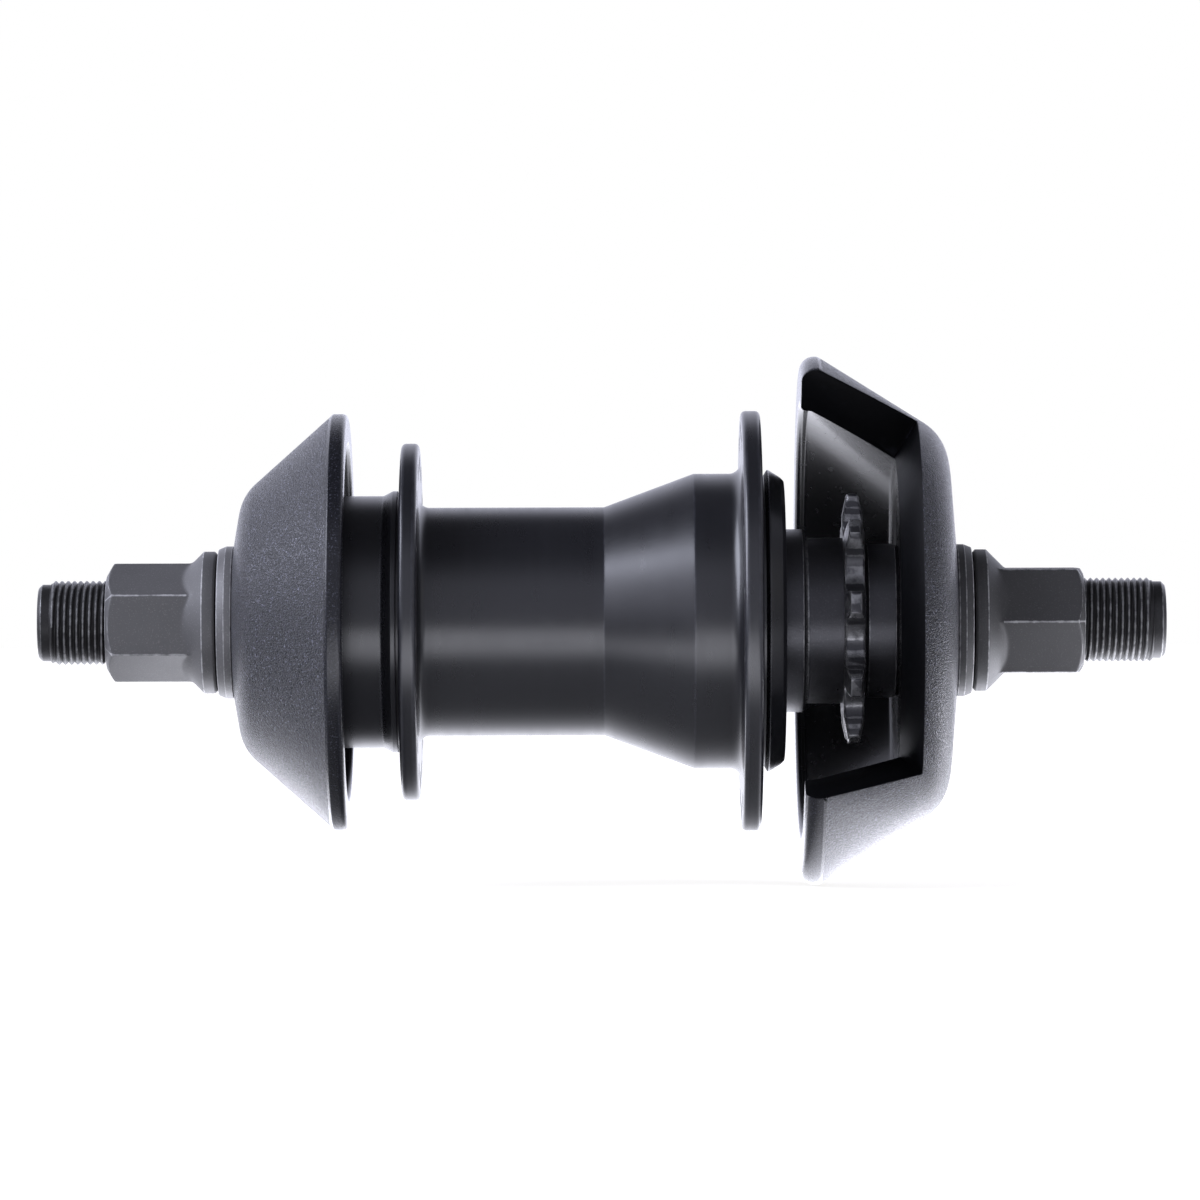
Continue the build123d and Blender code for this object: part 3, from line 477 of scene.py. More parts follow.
# Node trees
class Tree:
    """Short calls for building a node tree."""

    def __init__(self, tree):
        self.tree = tree

    def node(self, kind, inputs=(), **settings):
        made = self.tree.nodes.new(kind)
        for name, value in settings.items():
            setattr(made, name, value)
        for key, value in dict(inputs).items():
            if isinstance(value, bpy.types.NodeSocket):
                self.tree.links.new(value, made.inputs[key])
            else:
                made.inputs[key].default_value = value
        return made

    def math(self, operation, first, second=0.0):
        return self.node("ShaderNodeMath", {0: first, 1: second}, operation=operation).outputs[0]

    def times(self, first, *others):
        for other in others:
            first = self.math("MULTIPLY", first, other)
        return first

    def plus(self, first, *others):
        for other in others:
            first = self.math("ADD", first, other)
        return first

    def ramp(self, value, low, high, to_low=0.0, to_high=1.0, smooth=True):
        kind = "SMOOTHSTEP" if smooth else "LINEAR"
        inputs = {
            "Value": value,
            "From Min": low,
            "From Max": high,
            "To Min": to_low,
            "To Max": to_high,
        }
        return self.node("ShaderNodeMapRange", inputs, interpolation_type=kind).outputs[0]

    def band(self, value, rise, fall):
        return self.times(self.ramp(value, *rise), self.ramp(value, *fall))

    def mix(self, factor, first, second):
        inputs = {0: factor, 6: first, 7: second}
        return self.node("ShaderNodeMix", inputs, data_type="RGBA").outputs[2]

    def blend(self, factor, first, second):
        inputs = {0: factor, 2: first, 3: second}
        return self.node("ShaderNodeMix", inputs, data_type="FLOAT").outputs[0]

    def noise(self, vector, scale, detail=2.0, roughness=0.5, distortion=0.0):
        inputs = {
            "Vector": vector,
            "Scale": scale,
            "Detail": detail,
            "Roughness": roughness,
            "Distortion": distortion,
        }
        return self.node("ShaderNodeTexNoise", inputs).outputs[0]

    def group(self, tree, **inputs):
        made = self.tree.nodes.new("ShaderNodeGroup")
        made.node_tree = tree
        for key, value in inputs.items():
            socket = made.inputs[key.replace("_", " ")]
            if isinstance(value, bpy.types.NodeSocket):
                self.tree.links.new(value, socket)
            else:
                socket.default_value = value
        return made


def new_group(name, kind, inputs, outputs):
    """Node group with its sockets, as (tree, helper, its inputs' sockets, its output node)."""
    tree = bpy.data.node_groups.new(name, kind)
    for title, socket, default in inputs:
        made = tree.interface.new_socket(name=title, in_out="INPUT", socket_type=socket)
        if default is not None:
            made.default_value = default
    for title, socket in outputs:
        tree.interface.new_socket(name=title, in_out="OUTPUT", socket_type=socket)
    given = tree.nodes.new("NodeGroupInput")
    result = tree.nodes.new("NodeGroupOutput")
    return tree, Tree(tree), given.outputs, result


FLOAT = "NodeSocketFloat"
INT = "NodeSocketInt"
MATERIAL = "NodeSocketMaterial"
GEOMETRY = "NodeSocketGeometry"


def add_nodes(holder, tree, values):
    """Give an object a tree as a modifier, with its inputs set through their identifiers."""
    modifier = holder.modifiers.new(tree.name, "NODES")
    modifier.node_group = tree
    for item in tree.interface.items_tree:
        if item.item_type == "SOCKET" and item.in_out == "INPUT" and item.name in values:
            modifier[item.identifier] = values[item.name]


# A thread's ridge, its widths as shares of the pitch and its heights as shares of the depth
RIDGE_FOOT = 1.04
RIDGE_CREST = 0.16
RIDGE_LIFT = 1.12
RIDGE_MIDDLE = 0.44
RIDGE_TAPER_TURNS = 0.6
RIDGE_TIP = 0.02


def ridge_tree():
    """Geometry nodes for a helical ridge along the axle, tapering out at both ends."""
    tree, t, given, result = new_group(
        "Helical ridge",
        "GeometryNodeTree",
        [
            ("Geometry", GEOMETRY, None),
            ("Start", FLOAT, 0.0),
            ("Length", FLOAT, 0.01),
            ("Pitch", FLOAT, 0.001),
            ("Root radius", FLOAT, 0.006),
            ("Depth", FLOAT, 0.0005),
            ("Points per turn", INT, 64),
            ("Material", MATERIAL, None),
        ],
        [("Geometry", GEOMETRY)],
    )
    turns = t.math("DIVIDE", given["Length"], given["Pitch"])
    spiral = t.node(
        "GeometryNodeCurveSpiral",
        {
            "Resolution": given["Points per turn"],
            "Rotations": turns,
            "Start Radius": given["Root radius"],
            "End Radius": given["Root radius"],
            "Height": given["Length"],
        },
    )
    place = t.node("GeometryNodeSplineParameter").outputs["Factor"]
    from_end = t.math("MINIMUM", place, t.math("SUBTRACT", 1.0, place))
    taper = t.ramp(t.times(from_end, turns), 0.0, RIDGE_TAPER_TURNS, RIDGE_TIP, 1.0)
    line = t.node("GeometryNodeSetCurveNormal", {"Curve": spiral.outputs[0]})
    line.mode = "Z_UP"
    foot = t.times(given["Pitch"], RIDGE_FOOT)
    crest = t.times(given["Pitch"], RIDGE_CREST)
    lift = t.times(given["Depth"], RIDGE_LIFT)
    profile = t.node(
        "GeometryNodeCurvePrimitiveQuadrilateral",
        {"Height": lift, "Bottom Width": foot, "Top Width": crest, "Offset": 0.0},
        mode="TRAPEZOID",
    )
    middle = t.times(given["Depth"], RIDGE_MIDDLE)
    offset = t.node("ShaderNodeCombineXYZ", {"X": t.times(middle, -1.0)})
    stood = t.node(
        "GeometryNodeTransform",
        {
            "Geometry": profile.outputs[0],
            "Translation": offset.outputs[0],
            "Rotation": (0.0, 0.0, pi / 2),
        },
    )
    ridge = t.node(
        "GeometryNodeCurveToMesh",
        {
            "Curve": line.outputs[0],
            "Profile Curve": stood.outputs[0],
            "Scale": taper,
            "Fill Caps": True,
        },
    )
    shift = t.node("ShaderNodeCombineXYZ", {"X": given["Start"]})
    laid = t.node(
        "GeometryNodeTransform",
        {"Geometry": ridge.outputs[0], "Translation": shift.outputs[0], "Rotation": TO_AXLE},
    )
    real = t.node("GeometryNodeRealizeInstances", {"Geometry": laid.outputs[0]})
    inputs = {"Geometry": real.outputs[0], "Material": given["Material"]}
    done = t.node("GeometryNodeSetMaterial", inputs)
    tree.links.new(done.outputs[0], result.inputs[0])
    return tree


# Faces round and along the coarse screw, and half angles of its lobes' crests and roots
SCREW_SIDES = 360
SCREW_SLICES = 16
LOBE_CREST_ANGLE = radians(11)
LOBE_ROOT_ANGLE = radians(18)


def screw_tree():
    """Geometry nodes for the driver's coarse screw: a twisted bar with a lobe for each start."""
    tree, t, given, result = new_group(
        "Coarse screw",
        "GeometryNodeTree",
        [
            ("Geometry", GEOMETRY, None),
            ("Start", FLOAT, 0.003),
            ("Length", FLOAT, 0.017),
            ("Lead", FLOAT, 0.02),
            ("Root radius", FLOAT, 0.012),
            ("Crest radius", FLOAT, 0.0136),
            ("Starts", INT, 6),
            ("Material", MATERIAL, None),
        ],
        [("Geometry", GEOMETRY)],
    )
    bar = t.node(
        "GeometryNodeMeshCylinder",
        {
            "Vertices": SCREW_SIDES,
            "Side Segments": SCREW_SLICES,
            "Radius": 1.0,
            "Depth": given["Length"],
        },
        fill_type="NGON",
    )
    spot = t.node("ShaderNodeSeparateXYZ", {0: t.node("GeometryNodeInputPosition").outputs[0]})
    angle = t.math("ARCTAN2", spot.outputs["Y"], spot.outputs["X"])
    step = t.math("DIVIDE", 2 * pi, given["Starts"])
    from_lobe = t.math("PINGPONG", angle, t.times(step, 0.5))
    lobe = (LOBE_CREST_ANGLE, LOBE_ROOT_ANGLE, given["Crest radius"], given["Root radius"])
    radius = t.ramp(from_lobe, *lobe, smooth=False)
    along = t.plus(spot.outputs["Z"], t.times(given["Length"], 0.5))
    x = t.plus(along, given["Start"])
    twist = t.times(t.math("DIVIDE", x, given["Lead"]), 2 * pi)
    turned = t.plus(angle, twist)
    place = t.node(
        "ShaderNodeCombineXYZ",
        {
            "X": x,
            "Y": t.times(radius, t.math("COSINE", turned)),
            "Z": t.times(radius, t.math("SINE", turned)),
        },
    )
    inputs = {"Geometry": bar.outputs[0], "Position": place.outputs[0]}
    twisted = t.node("GeometryNodeSetPosition", inputs)
    real = t.node("GeometryNodeRealizeInstances", {"Geometry": twisted.outputs[0]})
    inputs = {"Geometry": real.outputs[0], "Material": given["Material"]}
    done = t.node("GeometryNodeSetMaterial", inputs)
    tree.links.new(done.outputs[0], result.inputs[0])
    return tree


# Faces round a spoke hole, and in metres how far its cutters pass the flange and overlap
DRILL_SIDES = 24
DRILL_PAST = 0.001
DRILL_OVERLAP = 0.0001


def spoke_hole_tree():
    """Geometry nodes that cut a ring of countersunk holes through a flange."""
    tree, t, given, result = new_group(
        "Spoke holes",
        "GeometryNodeTree",
        [
            ("Geometry", GEOMETRY, None),
            ("Flange start", FLOAT, 0.0),
            ("Thickness", FLOAT, 0.003),
            ("Circle radius", FLOAT, 0.026),
            ("Hole radius", FLOAT, 0.0013),
            ("Countersink", FLOAT, 0.0004),
            ("Count", INT, 18),
            ("Material", MATERIAL, None),
        ],
        [("Geometry", GEOMETRY)],
    )
    depth = t.plus(given["Thickness"], 4 * DRILL_PAST)
    drill = t.node(
        "GeometryNodeMeshCylinder",
        {
            "Vertices": DRILL_SIDES,
            "Side Segments": 1,
            "Radius": given["Hole radius"],
            "Depth": depth,
        },
        fill_type="NGON",
    )
    past = t.plus(given["Hole radius"], given["Countersink"], DRILL_PAST)
    sink = t.plus(given["Countersink"], DRILL_PAST, DRILL_OVERLAP)
    inside = t.math("SUBTRACT", given["Hole radius"], DRILL_OVERLAP)
    cones = []
    for side, low, high in ((-1, past, inside), (1, inside, past)):
        bit = t.node(
            "GeometryNodeMeshCone",
            {"Vertices": DRILL_SIDES, "Radius Top": high, "Radius Bottom": low, "Depth": sink},
            fill_type="NGON",
        )
        back = given["Countersink"] if side > 0 else DRILL_PAST + DRILL_OVERLAP
        foot = t.math("SUBTRACT", t.times(given["Thickness"], 0.5 * side), back)
        spot = t.node("ShaderNodeCombineXYZ", {"Z": foot}).outputs[0]
        inputs = {"Geometry": bit.outputs[0], "Translation": spot}
        cones.append(t.node("GeometryNodeTransform", inputs))
    cutter = t.node("GeometryNodeMeshBoolean", operation="UNION", solver="EXACT")
    for made in (drill, *cones):
        tree.links.new(made.outputs[0], cutter.inputs["Mesh 2"])
    ring = t.node(
        "GeometryNodeMeshCircle", {"Vertices": given["Count"], "Radius": given["Circle radius"]}
    )
    placed = t.node(
        "GeometryNodeInstanceOnPoints", {"Points": ring.outputs[0], "Instance": cutter.outputs[0]}
    )
    real = t.node("GeometryNodeRealizeInstances", {"Geometry": placed.outputs[0]})
    first_up = t.node(
        "GeometryNodeTransform", {"Geometry": real.outputs[0], "Rotation": (0.0, 0.0, pi / 2)}
    )
    middle = t.plus(given["Flange start"], t.times(given["Thickness"], 0.5))
    shift = t.node("ShaderNodeCombineXYZ", {"X": middle})
    laid = t.node(
        "GeometryNodeTransform",
        {"Geometry": first_up.outputs[0], "Translation": shift.outputs[0], "Rotation": TO_AXLE},
    )
    cut = t.node(
        "GeometryNodeMeshBoolean",
        {"Mesh 1": given["Geometry"]},
        operation="DIFFERENCE",
        solver="EXACT",
    )
    tree.links.new(laid.outputs[0], cut.inputs["Mesh 2"])
    whole = t.node("GeometryNodeRealizeInstances", {"Geometry": cut.outputs[0]})
    inputs = {"Geometry": whole.outputs[0], "Material": given["Material"]}
    done = t.node("GeometryNodeSetMaterial", inputs)
    tree.links.new(done.outputs[0], result.inputs[0])
    return tree


# Finishes
def turning_group():
    """Fine rings left by a lathe, along X."""
    tree, t, given, result = new_group(
        "Turning rings",
        "ShaderNodeTree",
        [("Spacing", FLOAT, 0.0002), ("Unevenness", FLOAT, 0.3)],
        [("Height", FLOAT), ("Streak", FLOAT)],
    )
    spot = t.node("ShaderNodeTexCoord").outputs["Object"]
    x = t.node("ShaderNodeSeparateXYZ", {0: spot}).outputs["X"]
    along = {"noise_dimensions": "1D"}
    fine = {"Scale": 1.0, "Detail": 3.0, "Roughness": 0.65}
    rings = t.node("ShaderNodeTexNoise", fine, **along)
    tree.links.new(t.math("DIVIDE", x, given["Spacing"]), rings.inputs["W"])
    broad = t.node("ShaderNodeTexNoise", {"Scale": 1.0, "Detail": 1.0}, **along)
    tree.links.new(t.math("DIVIDE", x, t.times(given["Spacing"], 14.0)), broad.inputs["W"])
    patch = t.noise(spot, 160.0, detail=3.0, roughness=0.6)
    shade = t.times(t.plus(broad.outputs[0], patch), 0.5)
    tree.links.new(rings.outputs[0], result.inputs["Height"])
    tree.links.new(t.blend(given["Unevenness"], 0.5, shade), result.inputs["Streak"])
    return tree


def grain_group():
    """Moulded or phosphated grain: small bumps with fine specks, which the guards' colour also uses
    as painted sparkle.
    """
    tree, t, given, result = new_group(
        "Grain",
        "ShaderNodeTree",
        [("Size", FLOAT, 0.0003), ("Specks", FLOAT, 0.5)],
        [("Height", FLOAT), ("Speck", FLOAT), ("Patch", FLOAT), ("Fine", FLOAT)],
    )
    spot = t.node("ShaderNodeTexCoord").outputs["Object"]
    scale = t.math("DIVIDE", 1.0, given["Size"])
    cells = t.node("ShaderNodeTexVoronoi", {"Vector": spot, "Scale": scale}, feature="SMOOTH_F1")
    cells.inputs["Smoothness"].default_value = 0.4
    fine = t.noise(spot, t.times(scale, 1.3), detail=1.0, roughness=0.6)
    height = t.plus(t.times(cells.outputs[0], -0.9), t.times(fine, 0.7))
    dots = t.noise(spot, t.times(scale, 1.1), detail=1.0)
    speck = t.times(t.ramp(dots, 0.6, 0.72), given["Specks"])
    tree.links.new(height, result.inputs["Height"])
    tree.links.new(speck, result.inputs["Speck"])
    patch = t.noise(spot, 55.0, detail=4.0, roughness=0.6)
    tree.links.new(patch, result.inputs["Patch"])
    tree.links.new(t.ramp(fine, 0.4, 0.6, smooth=False), result.inputs["Fine"])
    return tree


def wear_group():
    """Rubbed edges, broken up, from the piece's own edge_wear attribute."""
    tree, t, given, result = new_group(
        "Edge wear",
        "ShaderNodeTree",
        [("Amount", FLOAT, 0.6), ("Break up", FLOAT, 0.002)],
        [("Mask", FLOAT)],
    )
    edge = t.node("ShaderNodeAttribute", attribute_name="edge_wear").outputs["Fac"]
    spot = t.node("ShaderNodeTexCoord").outputs["Object"]
    scale = t.math("DIVIDE", 1.0, given["Break up"])
    patch = t.noise(spot, scale, detail=4.0, roughness=0.65)
    mask = t.ramp(t.plus(edge, t.times(patch, 0.9)), 1.15, 1.62)
    tree.links.new(t.times(mask, given["Amount"]), result.inputs["Mask"])
    return tree


def marks_group():
    """Faint handling marks: soft smears and a few fine scratches."""
    tree, t, given, result = new_group(
        "Handling marks",
        "ShaderNodeTree",
        [("Smears", FLOAT, 0.5), ("Scratches", FLOAT, 0.5)],
        [("Mask", FLOAT), ("Height", FLOAT)],
    )
    spot = t.node("ShaderNodeTexCoord").outputs["Object"]
    cloud = t.noise(spot, 38.0, detail=5.0, roughness=0.62, distortion=0.4)
    smear = t.ramp(cloud, 0.42, 0.75)
    lines = []
    for turn, size in ((0.5, (55.0, 900.0, 900.0)), (2.1, (900.0, 60.0, 900.0))):
        inputs = {"Vector": spot, "Rotation": (turn, 0.4 * turn, turn), "Scale": size}
        laid = t.node("ShaderNodeMapping", inputs)
        streaks = t.noise(laid.outputs[0], 1.0, detail=1.0, roughness=0.4)
        lines.append(t.ramp(streaks, 0.66, 0.74))
    scratch = t.times(t.math("MAXIMUM", *lines), given["Scratches"])
    mask = t.math("MAXIMUM", t.times(smear, given["Smears"]), scratch)
    tree.links.new(mask, result.inputs["Mask"])
    tree.links.new(t.times(scratch, -1.0), result.inputs["Height"])
    return tree


# Shader groups that are built already, by name
GROUPS = {}


def shared_group(name):
    """The shader group of that name, built once."""
    makers = {
        "rings": turning_group,
        "grain": grain_group,
        "wear": wear_group,
        "marks": marks_group,
    }
    if name not in GROUPS:
        GROUPS[name] = makers[name]()
    return GROUPS[name]


def new_material(name, specular, metallic=0.0, coat=0.0, coat_roughness=0.2):
    """Material with a Principled shader, as (material, helper, shader)."""
    material = bpy.data.materials.new(name)
    material.use_nodes = True
    shader = material.node_tree.nodes["Principled BSDF"]
    shader.inputs["Metallic"].default_value = metallic
    shader.inputs["Specular IOR Level"].default_value = specular
    shader.inputs["Coat Weight"].default_value = coat
    shader.inputs["Coat Roughness"].default_value = coat_roughness
    return material, Tree(material.node_tree), shader


def with_alpha(colour, gain=1.0):
    """A colour with full alpha, brightened where asked."""
    return (*[channel * gain for channel in colour], 1.0)


def bumped(t, shader, layers):
    """Chain bumps into the shader's normal. A layer is (height, distance in metres, strength)."""
    normal = None
    for height, distance, strength in layers:
        inputs = {"Height": height, "Distance": distance, "Strength": strength}
        bump = t.node("ShaderNodeBump", inputs)
        if normal is not None:
            t.tree.links.new(normal, bump.inputs["Normal"])
        normal = bump.outputs[0]
    t.tree.links.new(normal, shader.inputs["Normal"])


def feed(t, shader, colour, roughness):
    """Connect colour and roughness to the shader."""
    t.tree.links.new(colour, shader.inputs["Base Color"])
    t.tree.links.new(roughness, shader.inputs["Roughness"])


def anodised_finish():
    """Satin black anodising over turned aluminium."""
    colour = bpy.context.scene.hub_finishes.shell
    material, t, shader = new_material("Anodised shell", specular=0.62)
    rings = t.group(shared_group("rings"), Spacing=0.00016, Unevenness=0.6)
    marks = t.group(shared_group("marks"), Smears=0.5, Scratches=0.35)
    wear = t.group(shared_group("wear"), Amount=0.22, Break_up=0.0016)
    shade = t.mix(rings.outputs["Streak"], with_alpha(colour, 0.7), with_alpha(colour, 1.35))
    shade = t.mix(wear.outputs["Mask"], shade, with_alpha(colour, 7.0))
    rough = t.ramp(rings.outputs["Streak"], 0.35, 0.65, 0.25, 0.32, False)
    rough = t.plus(rough, t.times(marks.outputs["Mask"], 0.06))
    feed(t, shader, shade, rough)
    layers = [(rings.outputs["Height"], 0.000012, 0.35), (marks.outputs["Height"], 0.000004, 0.5)]
    bumped(t, shader, layers)
    return material


def guard_finish(name, specular, roughness, relief, sheen, specks):
    """Outside or lip of the moulded guards: charcoal with a fine grain, whose fine spots and bright
    specks are lightened in the colour, partly as the grain's own tone and partly as painted sparkle.
    """
    colour = bpy.context.scene.hub_finishes.guard
    material, t, shader = new_material(name, specular)
    shader.inputs["Sheen Weight"].default_value = sheen
    shader.inputs["Sheen Roughness"].default_value = 0.35
    grain = t.group(shared_group("grain"), Size=0.00034, Specks=specks)
    marks = t.group(shared_group("marks"), Smears=0.7, Scratches=0.3)
    wear = t.group(shared_group("wear"), Amount=0.5, Break_up=0.002)
    shade = t.mix(grain.outputs["Patch"], with_alpha(colour, 0.75), with_alpha(colour, 1.25))
    # Painted sparkle: the grain's fine spots and bright specks are lightened in the colour, partly
    # the grain's own tone, partly painted glints.
    shade = t.mix(t.times(grain.outputs["Fine"], specks), shade, with_alpha(colour, 4.0))
    shade = t.mix(grain.outputs["Speck"], shade, with_alpha(colour, 22.0))
    shade = t.mix(wear.outputs["Mask"], shade, with_alpha(colour, 3.0))
    rough = t.plus(roughness, t.times(grain.outputs["Fine"], -0.12))
    rough = t.math("SUBTRACT", rough, t.times(wear.outputs["Mask"], 0.2))
    rough = t.plus(rough, t.times(marks.outputs["Mask"], 0.05))
    feed(t, shader, shade, rough)
    layers = [(grain.outputs["Height"], relief, 0.6), (grain.outputs["Fine"], relief, 1.0)]
    bumped(t, shader, layers)
    return material


def guard_inside_finish(name, specular, coat, roughness):
    """Inside or cut faces of the guards: smooth black with fine marks, the black partly the plastic's
    own and partly painted shade, far darker than the outside, inside the bowl and on the window's cut
    faces.
    """
    colour = bpy.context.scene.hub_finishes.guard
    material, t, shader = new_material(name, specular, coat=coat, coat_roughness=0.13)
    grain = t.group(shared_group("grain"), Size=0.0011, Specks=0.3)
    marks = t.group(shared_group("marks"), Smears=0.5, Scratches=0.3)
    wear = t.group(shared_group("wear"), Amount=0.5, Break_up=0.0015)
    # Painted shade: the guard's colour darkened to a small share of the outside's, for the shade
    # inside the bowl and on the cut faces.
    shade = t.mix(grain.outputs["Patch"], with_alpha(colour, 0.15), with_alpha(colour, 0.35))
    shade = t.mix(marks.outputs["Mask"], shade, with_alpha(colour, 0.7))
    shade = t.mix(wear.outputs["Mask"], shade, with_alpha(colour, 3.0))
    rough = t.plus(roughness, t.times(marks.outputs["Mask"], 0.14))
    feed(t, shader, shade, rough)
    layers = [(grain.outputs["Height"], 0.00001, 0.5), (marks.outputs["Height"], 0.00001, 0.6)]
    bumped(t, shader, layers)
    return material


def steel_finish(name, colour, grain_size, roughness, metallic, wear_amount, specks, rings=False):
    """Dark or bright steel with grain, turning rings where asked, and rubbed edges."""
    worn = bpy.context.scene.hub_finishes.worn
    material, t, shader = new_material(name, specular=0.4, metallic=metallic)
    grain = t.group(shared_group("grain"), Size=grain_size, Specks=specks)
    marks = t.group(shared_group("marks"), Smears=0.6, Scratches=0.5)
    wear = t.group(shared_group("wear"), Amount=wear_amount, Break_up=0.0013)
    shade = t.mix(grain.outputs["Patch"], with_alpha(colour, 0.7), with_alpha(colour, 1.3))
    shade = t.mix(grain.outputs["Speck"], shade, with_alpha(colour, 2.2))
    shade = t.mix(wear.outputs["Mask"], shade, with_alpha(worn))
    low, high = roughness - 0.05, roughness + 0.05
    rough = t.ramp(grain.outputs["Patch"], 0.3, 0.7, low, high, smooth=False)
    rough = t.plus(rough, t.times(marks.outputs["Mask"], 0.07))
    rough = t.math("SUBTRACT", rough, t.times(wear.outputs["Mask"], 0.12))
    feed(t, shader, shade, rough)
    layers = [(grain.outputs["Height"], 0.00003, 0.4), (marks.outputs["Height"], 0.000008, 0.5)]
    if rings:
        lines = t.group(shared_group("rings"), Spacing=0.00022, Unevenness=0.4)
        layers.append((lines.outputs["Height"], 0.00002, 0.35))
    bumped(t, shader, layers)
    return material


def rubber_finish():
    """Black rubber of the bearing seals."""
    material, t, shader = new_material("Bearing seal", specular=0.4)
    grain = t.group(shared_group("grain"), Size=0.0004, Specks=0.2)
    marks = t.group(shared_group("marks"), Smears=0.5, Scratches=0.2)
    shade = t.mix(grain.outputs["Patch"], (0.012, 0.012, 0.013, 1.0), (0.024, 0.024, 0.026, 1.0))
    rough = t.plus(0.5, t.times(marks.outputs["Mask"], 0.15))
    feed(t, shader, shade, rough)
    bumped(t, shader, [(grain.outputs["Height"], 0.00002, 0.4)])
    return material


# Materials that are built already, by name
FINISHES = {}


def toned(colour, gain):
    """A colour made darker or lighter."""
    return tuple(channel * gain for channel in colour)


def guard_finishes():
    """Makers of the guards' finishes by name."""
    return {
        "guard_outside": lambda: guard_finish(
            "Guard outside", specular=0.48, roughness=0.4, relief=0.00009, sheen=0.04, specks=0.95
        ),
        "guard_lip": lambda: guard_finish(
            "Guard lip", specular=0.34, roughness=0.28, relief=0.00001, sheen=0.0, specks=0.3
        ),
        "guard_inside": lambda: guard_inside_finish(
            "Guard inside", specular=0.5, coat=0.22, roughness=0.24
        ),
        "guard_cut": lambda: guard_inside_finish(
            "Guard cut", specular=0.08, coat=0.0, roughness=0.45
        ),
    }


def steels():
    """What steel_finish takes for each steel, by its name."""
    colours = bpy.context.scene.hub_finishes
    phosphate, oxide, bright = colours.phosphate, colours.oxide, colours.bright
    dark, pale, deep = toned(phosphate, 0.62), toned(phosphate, 1.5), toned(phosphate, 0.3)
    return {
        "phosphated_steel": ("Phosphated steel", phosphate, 0.00026, 0.46, 0.0, 0.9, 0.4, False),
        # Painted shade: a darker copy of the same phosphate for the drive-side nut and washer, where
        # less light falls.
        "shaded_phosphate": ("Dark phosphate", dark, 0.00026, 0.5, 0.0, 0.9, 0.4, False),
        "washer_steel": ("Washer steel", pale, 0.0003, 0.42, 0.1, 0.7, 0.35, True),
        "black_oxide_steel": ("Blacked steel", oxide, 0.0003, 0.3, 0.6, 0.5, 0.25, True),
        "threaded_steel": ("Threaded steel", deep, 0.0003, 0.36, 0.5, 0.45, 0.25, False),
        "bearing_steel": ("Bearing steel", bright, 0.0005, 0.2, 1.0, 0.3, 0.1, True),
        "bearing_cage": ("Pressed cage", bright, 0.0004, 0.36, 1.0, 0.3, 0.2, False),
    }


def finish_for(name):
    """The material of that name, built once."""
    makers = {"anodised_shell": anodised_finish, "bearing_seal": rubber_finish, **guard_finishes()}
    if name not in FINISHES:
        FINISHES[name] = makers[name]() if name in makers else steel_finish(*steels()[name])
    return FINISHES[name]


# Pieces
def smooth_least(first, second, soft):
    """Lesser of two values, with a fillet of that size where they meet."""
    if soft <= 0:
        return min(first, second)
    share = max(soft - abs(first - second), 0.0) / soft
    return min(first, second) - share * share * soft / 4


def smooth_most(first, second, soft):
    """Greater of two values, with a fillet of that size where they meet."""
    return -smooth_least(-first, -second, soft)


def hexagon_r(angle, flat, corner):
    """Radius of a round-cornered hexagon, at up to 30 degrees from the middle of a flat."""
    arm = (flat - corner) / cos(radians(30))
    start = atan((flat - corner) * tan(radians(30)) / flat)
    if angle <= start:
        return flat / cos(angle)
    off = radians(30) - angle
    return arm * cos(off) + sqrt(max(corner**2 - (arm * sin(off)) ** 2, 0.0))


def nut_mesh(name, side, turn):
    """Flanged axle nut as one skin: flange, cone coved into a rounded hexagon, and a bore."""
    sizes = bpy.context.scene.hub_sizes
    corner = sizes.nut_corner / MM
    cove = sizes.nut_cove / MM
    flat = NUT_ACROSS_FLATS / 2
    length = NUT_OUTER_X - NUT_INNER_X
    flange = NUT_FLANGE_THICKNESS
    columns = []
    for sector in range(6):
        centre = turn + 60 * sector
        columns += [(centre - off, off) for off in reversed(NUT_COLUMNS)]
        columns += [(centre + off, off) for off in NUT_COLUMNS[1:-1]]
    rows = []
    for out in [depth for depth in NUT_ROWS if length - depth > flange + NUT_ROW_GAP]:
        cone = NUT_FLANGE_R - (length - out - flange)
        chamfer = NUT_END_R + tan(radians(NUT_CHAMFER_ANGLE)) * out
        row = []
        for angle, off in columns:
            hexagon = hexagon_r(radians(off), flat, corner)
            body = smooth_least(hexagon, chamfer, NUT_CHAMFER_FILLET)
            if out == 0.0:
                body -= NUT_END_STEP
            exposed = 1.0 if cone < body - NUT_CONE_CLEARANCE else 0.2
            edge = exposed * exp(-(((30 - off) / CORNER_WEAR_DEGREES) ** 2))
            rim = 0.0
            if out < NUT_CHAMFER_REACH:
                rim = exp(-(((hexagon - chamfer) / RIM_WEAR_WIDTH) ** 2))
            end = 1.0 if out < NUT_END_WEAR else 0.0
            row.append((angle, smooth_most(body, cone, cove), max(edge, rim, end)))
        rows.append((NUT_OUTER_X - out, row))
    flange_and_bore = [
        (flange + 0.02, NUT_FLANGE_R - 0.02, 1.0),
        (flange - 0.12, NUT_FLANGE_R, 1.0),
        (flange - 0.35, NUT_FLANGE_R, 0.2),
        (0.42, NUT_FLANGE_R, 0.0),
        (0.3, NUT_FLANGE_R - 0.05, 0.6),
        (0.0, NUT_FLANGE_R - 0.4, 0.6),
        (0.0, NUT_BORE_R + 0.4, 0.0),
        (0.3, NUT_BORE_R, 0.0),
        (length - 0.5, NUT_BORE_R, 0.0),
        (length, NUT_BORE_R + 0.5, 1.0),
        (length, NUT_BORE_R + 0.7, 0.2),
    ]
    for depth, radius, wear in flange_and_bore:
        rows.append((NUT_INNER_X + depth, [(angle, radius, wear) for angle, off in columns]))
    skin = [
        [(side * x, r * cos(radians(a)), r * sin(radians(a)), w) for a, r, w in row]
        for x, row in rows
    ]
    return closed_mesh(name, skin)


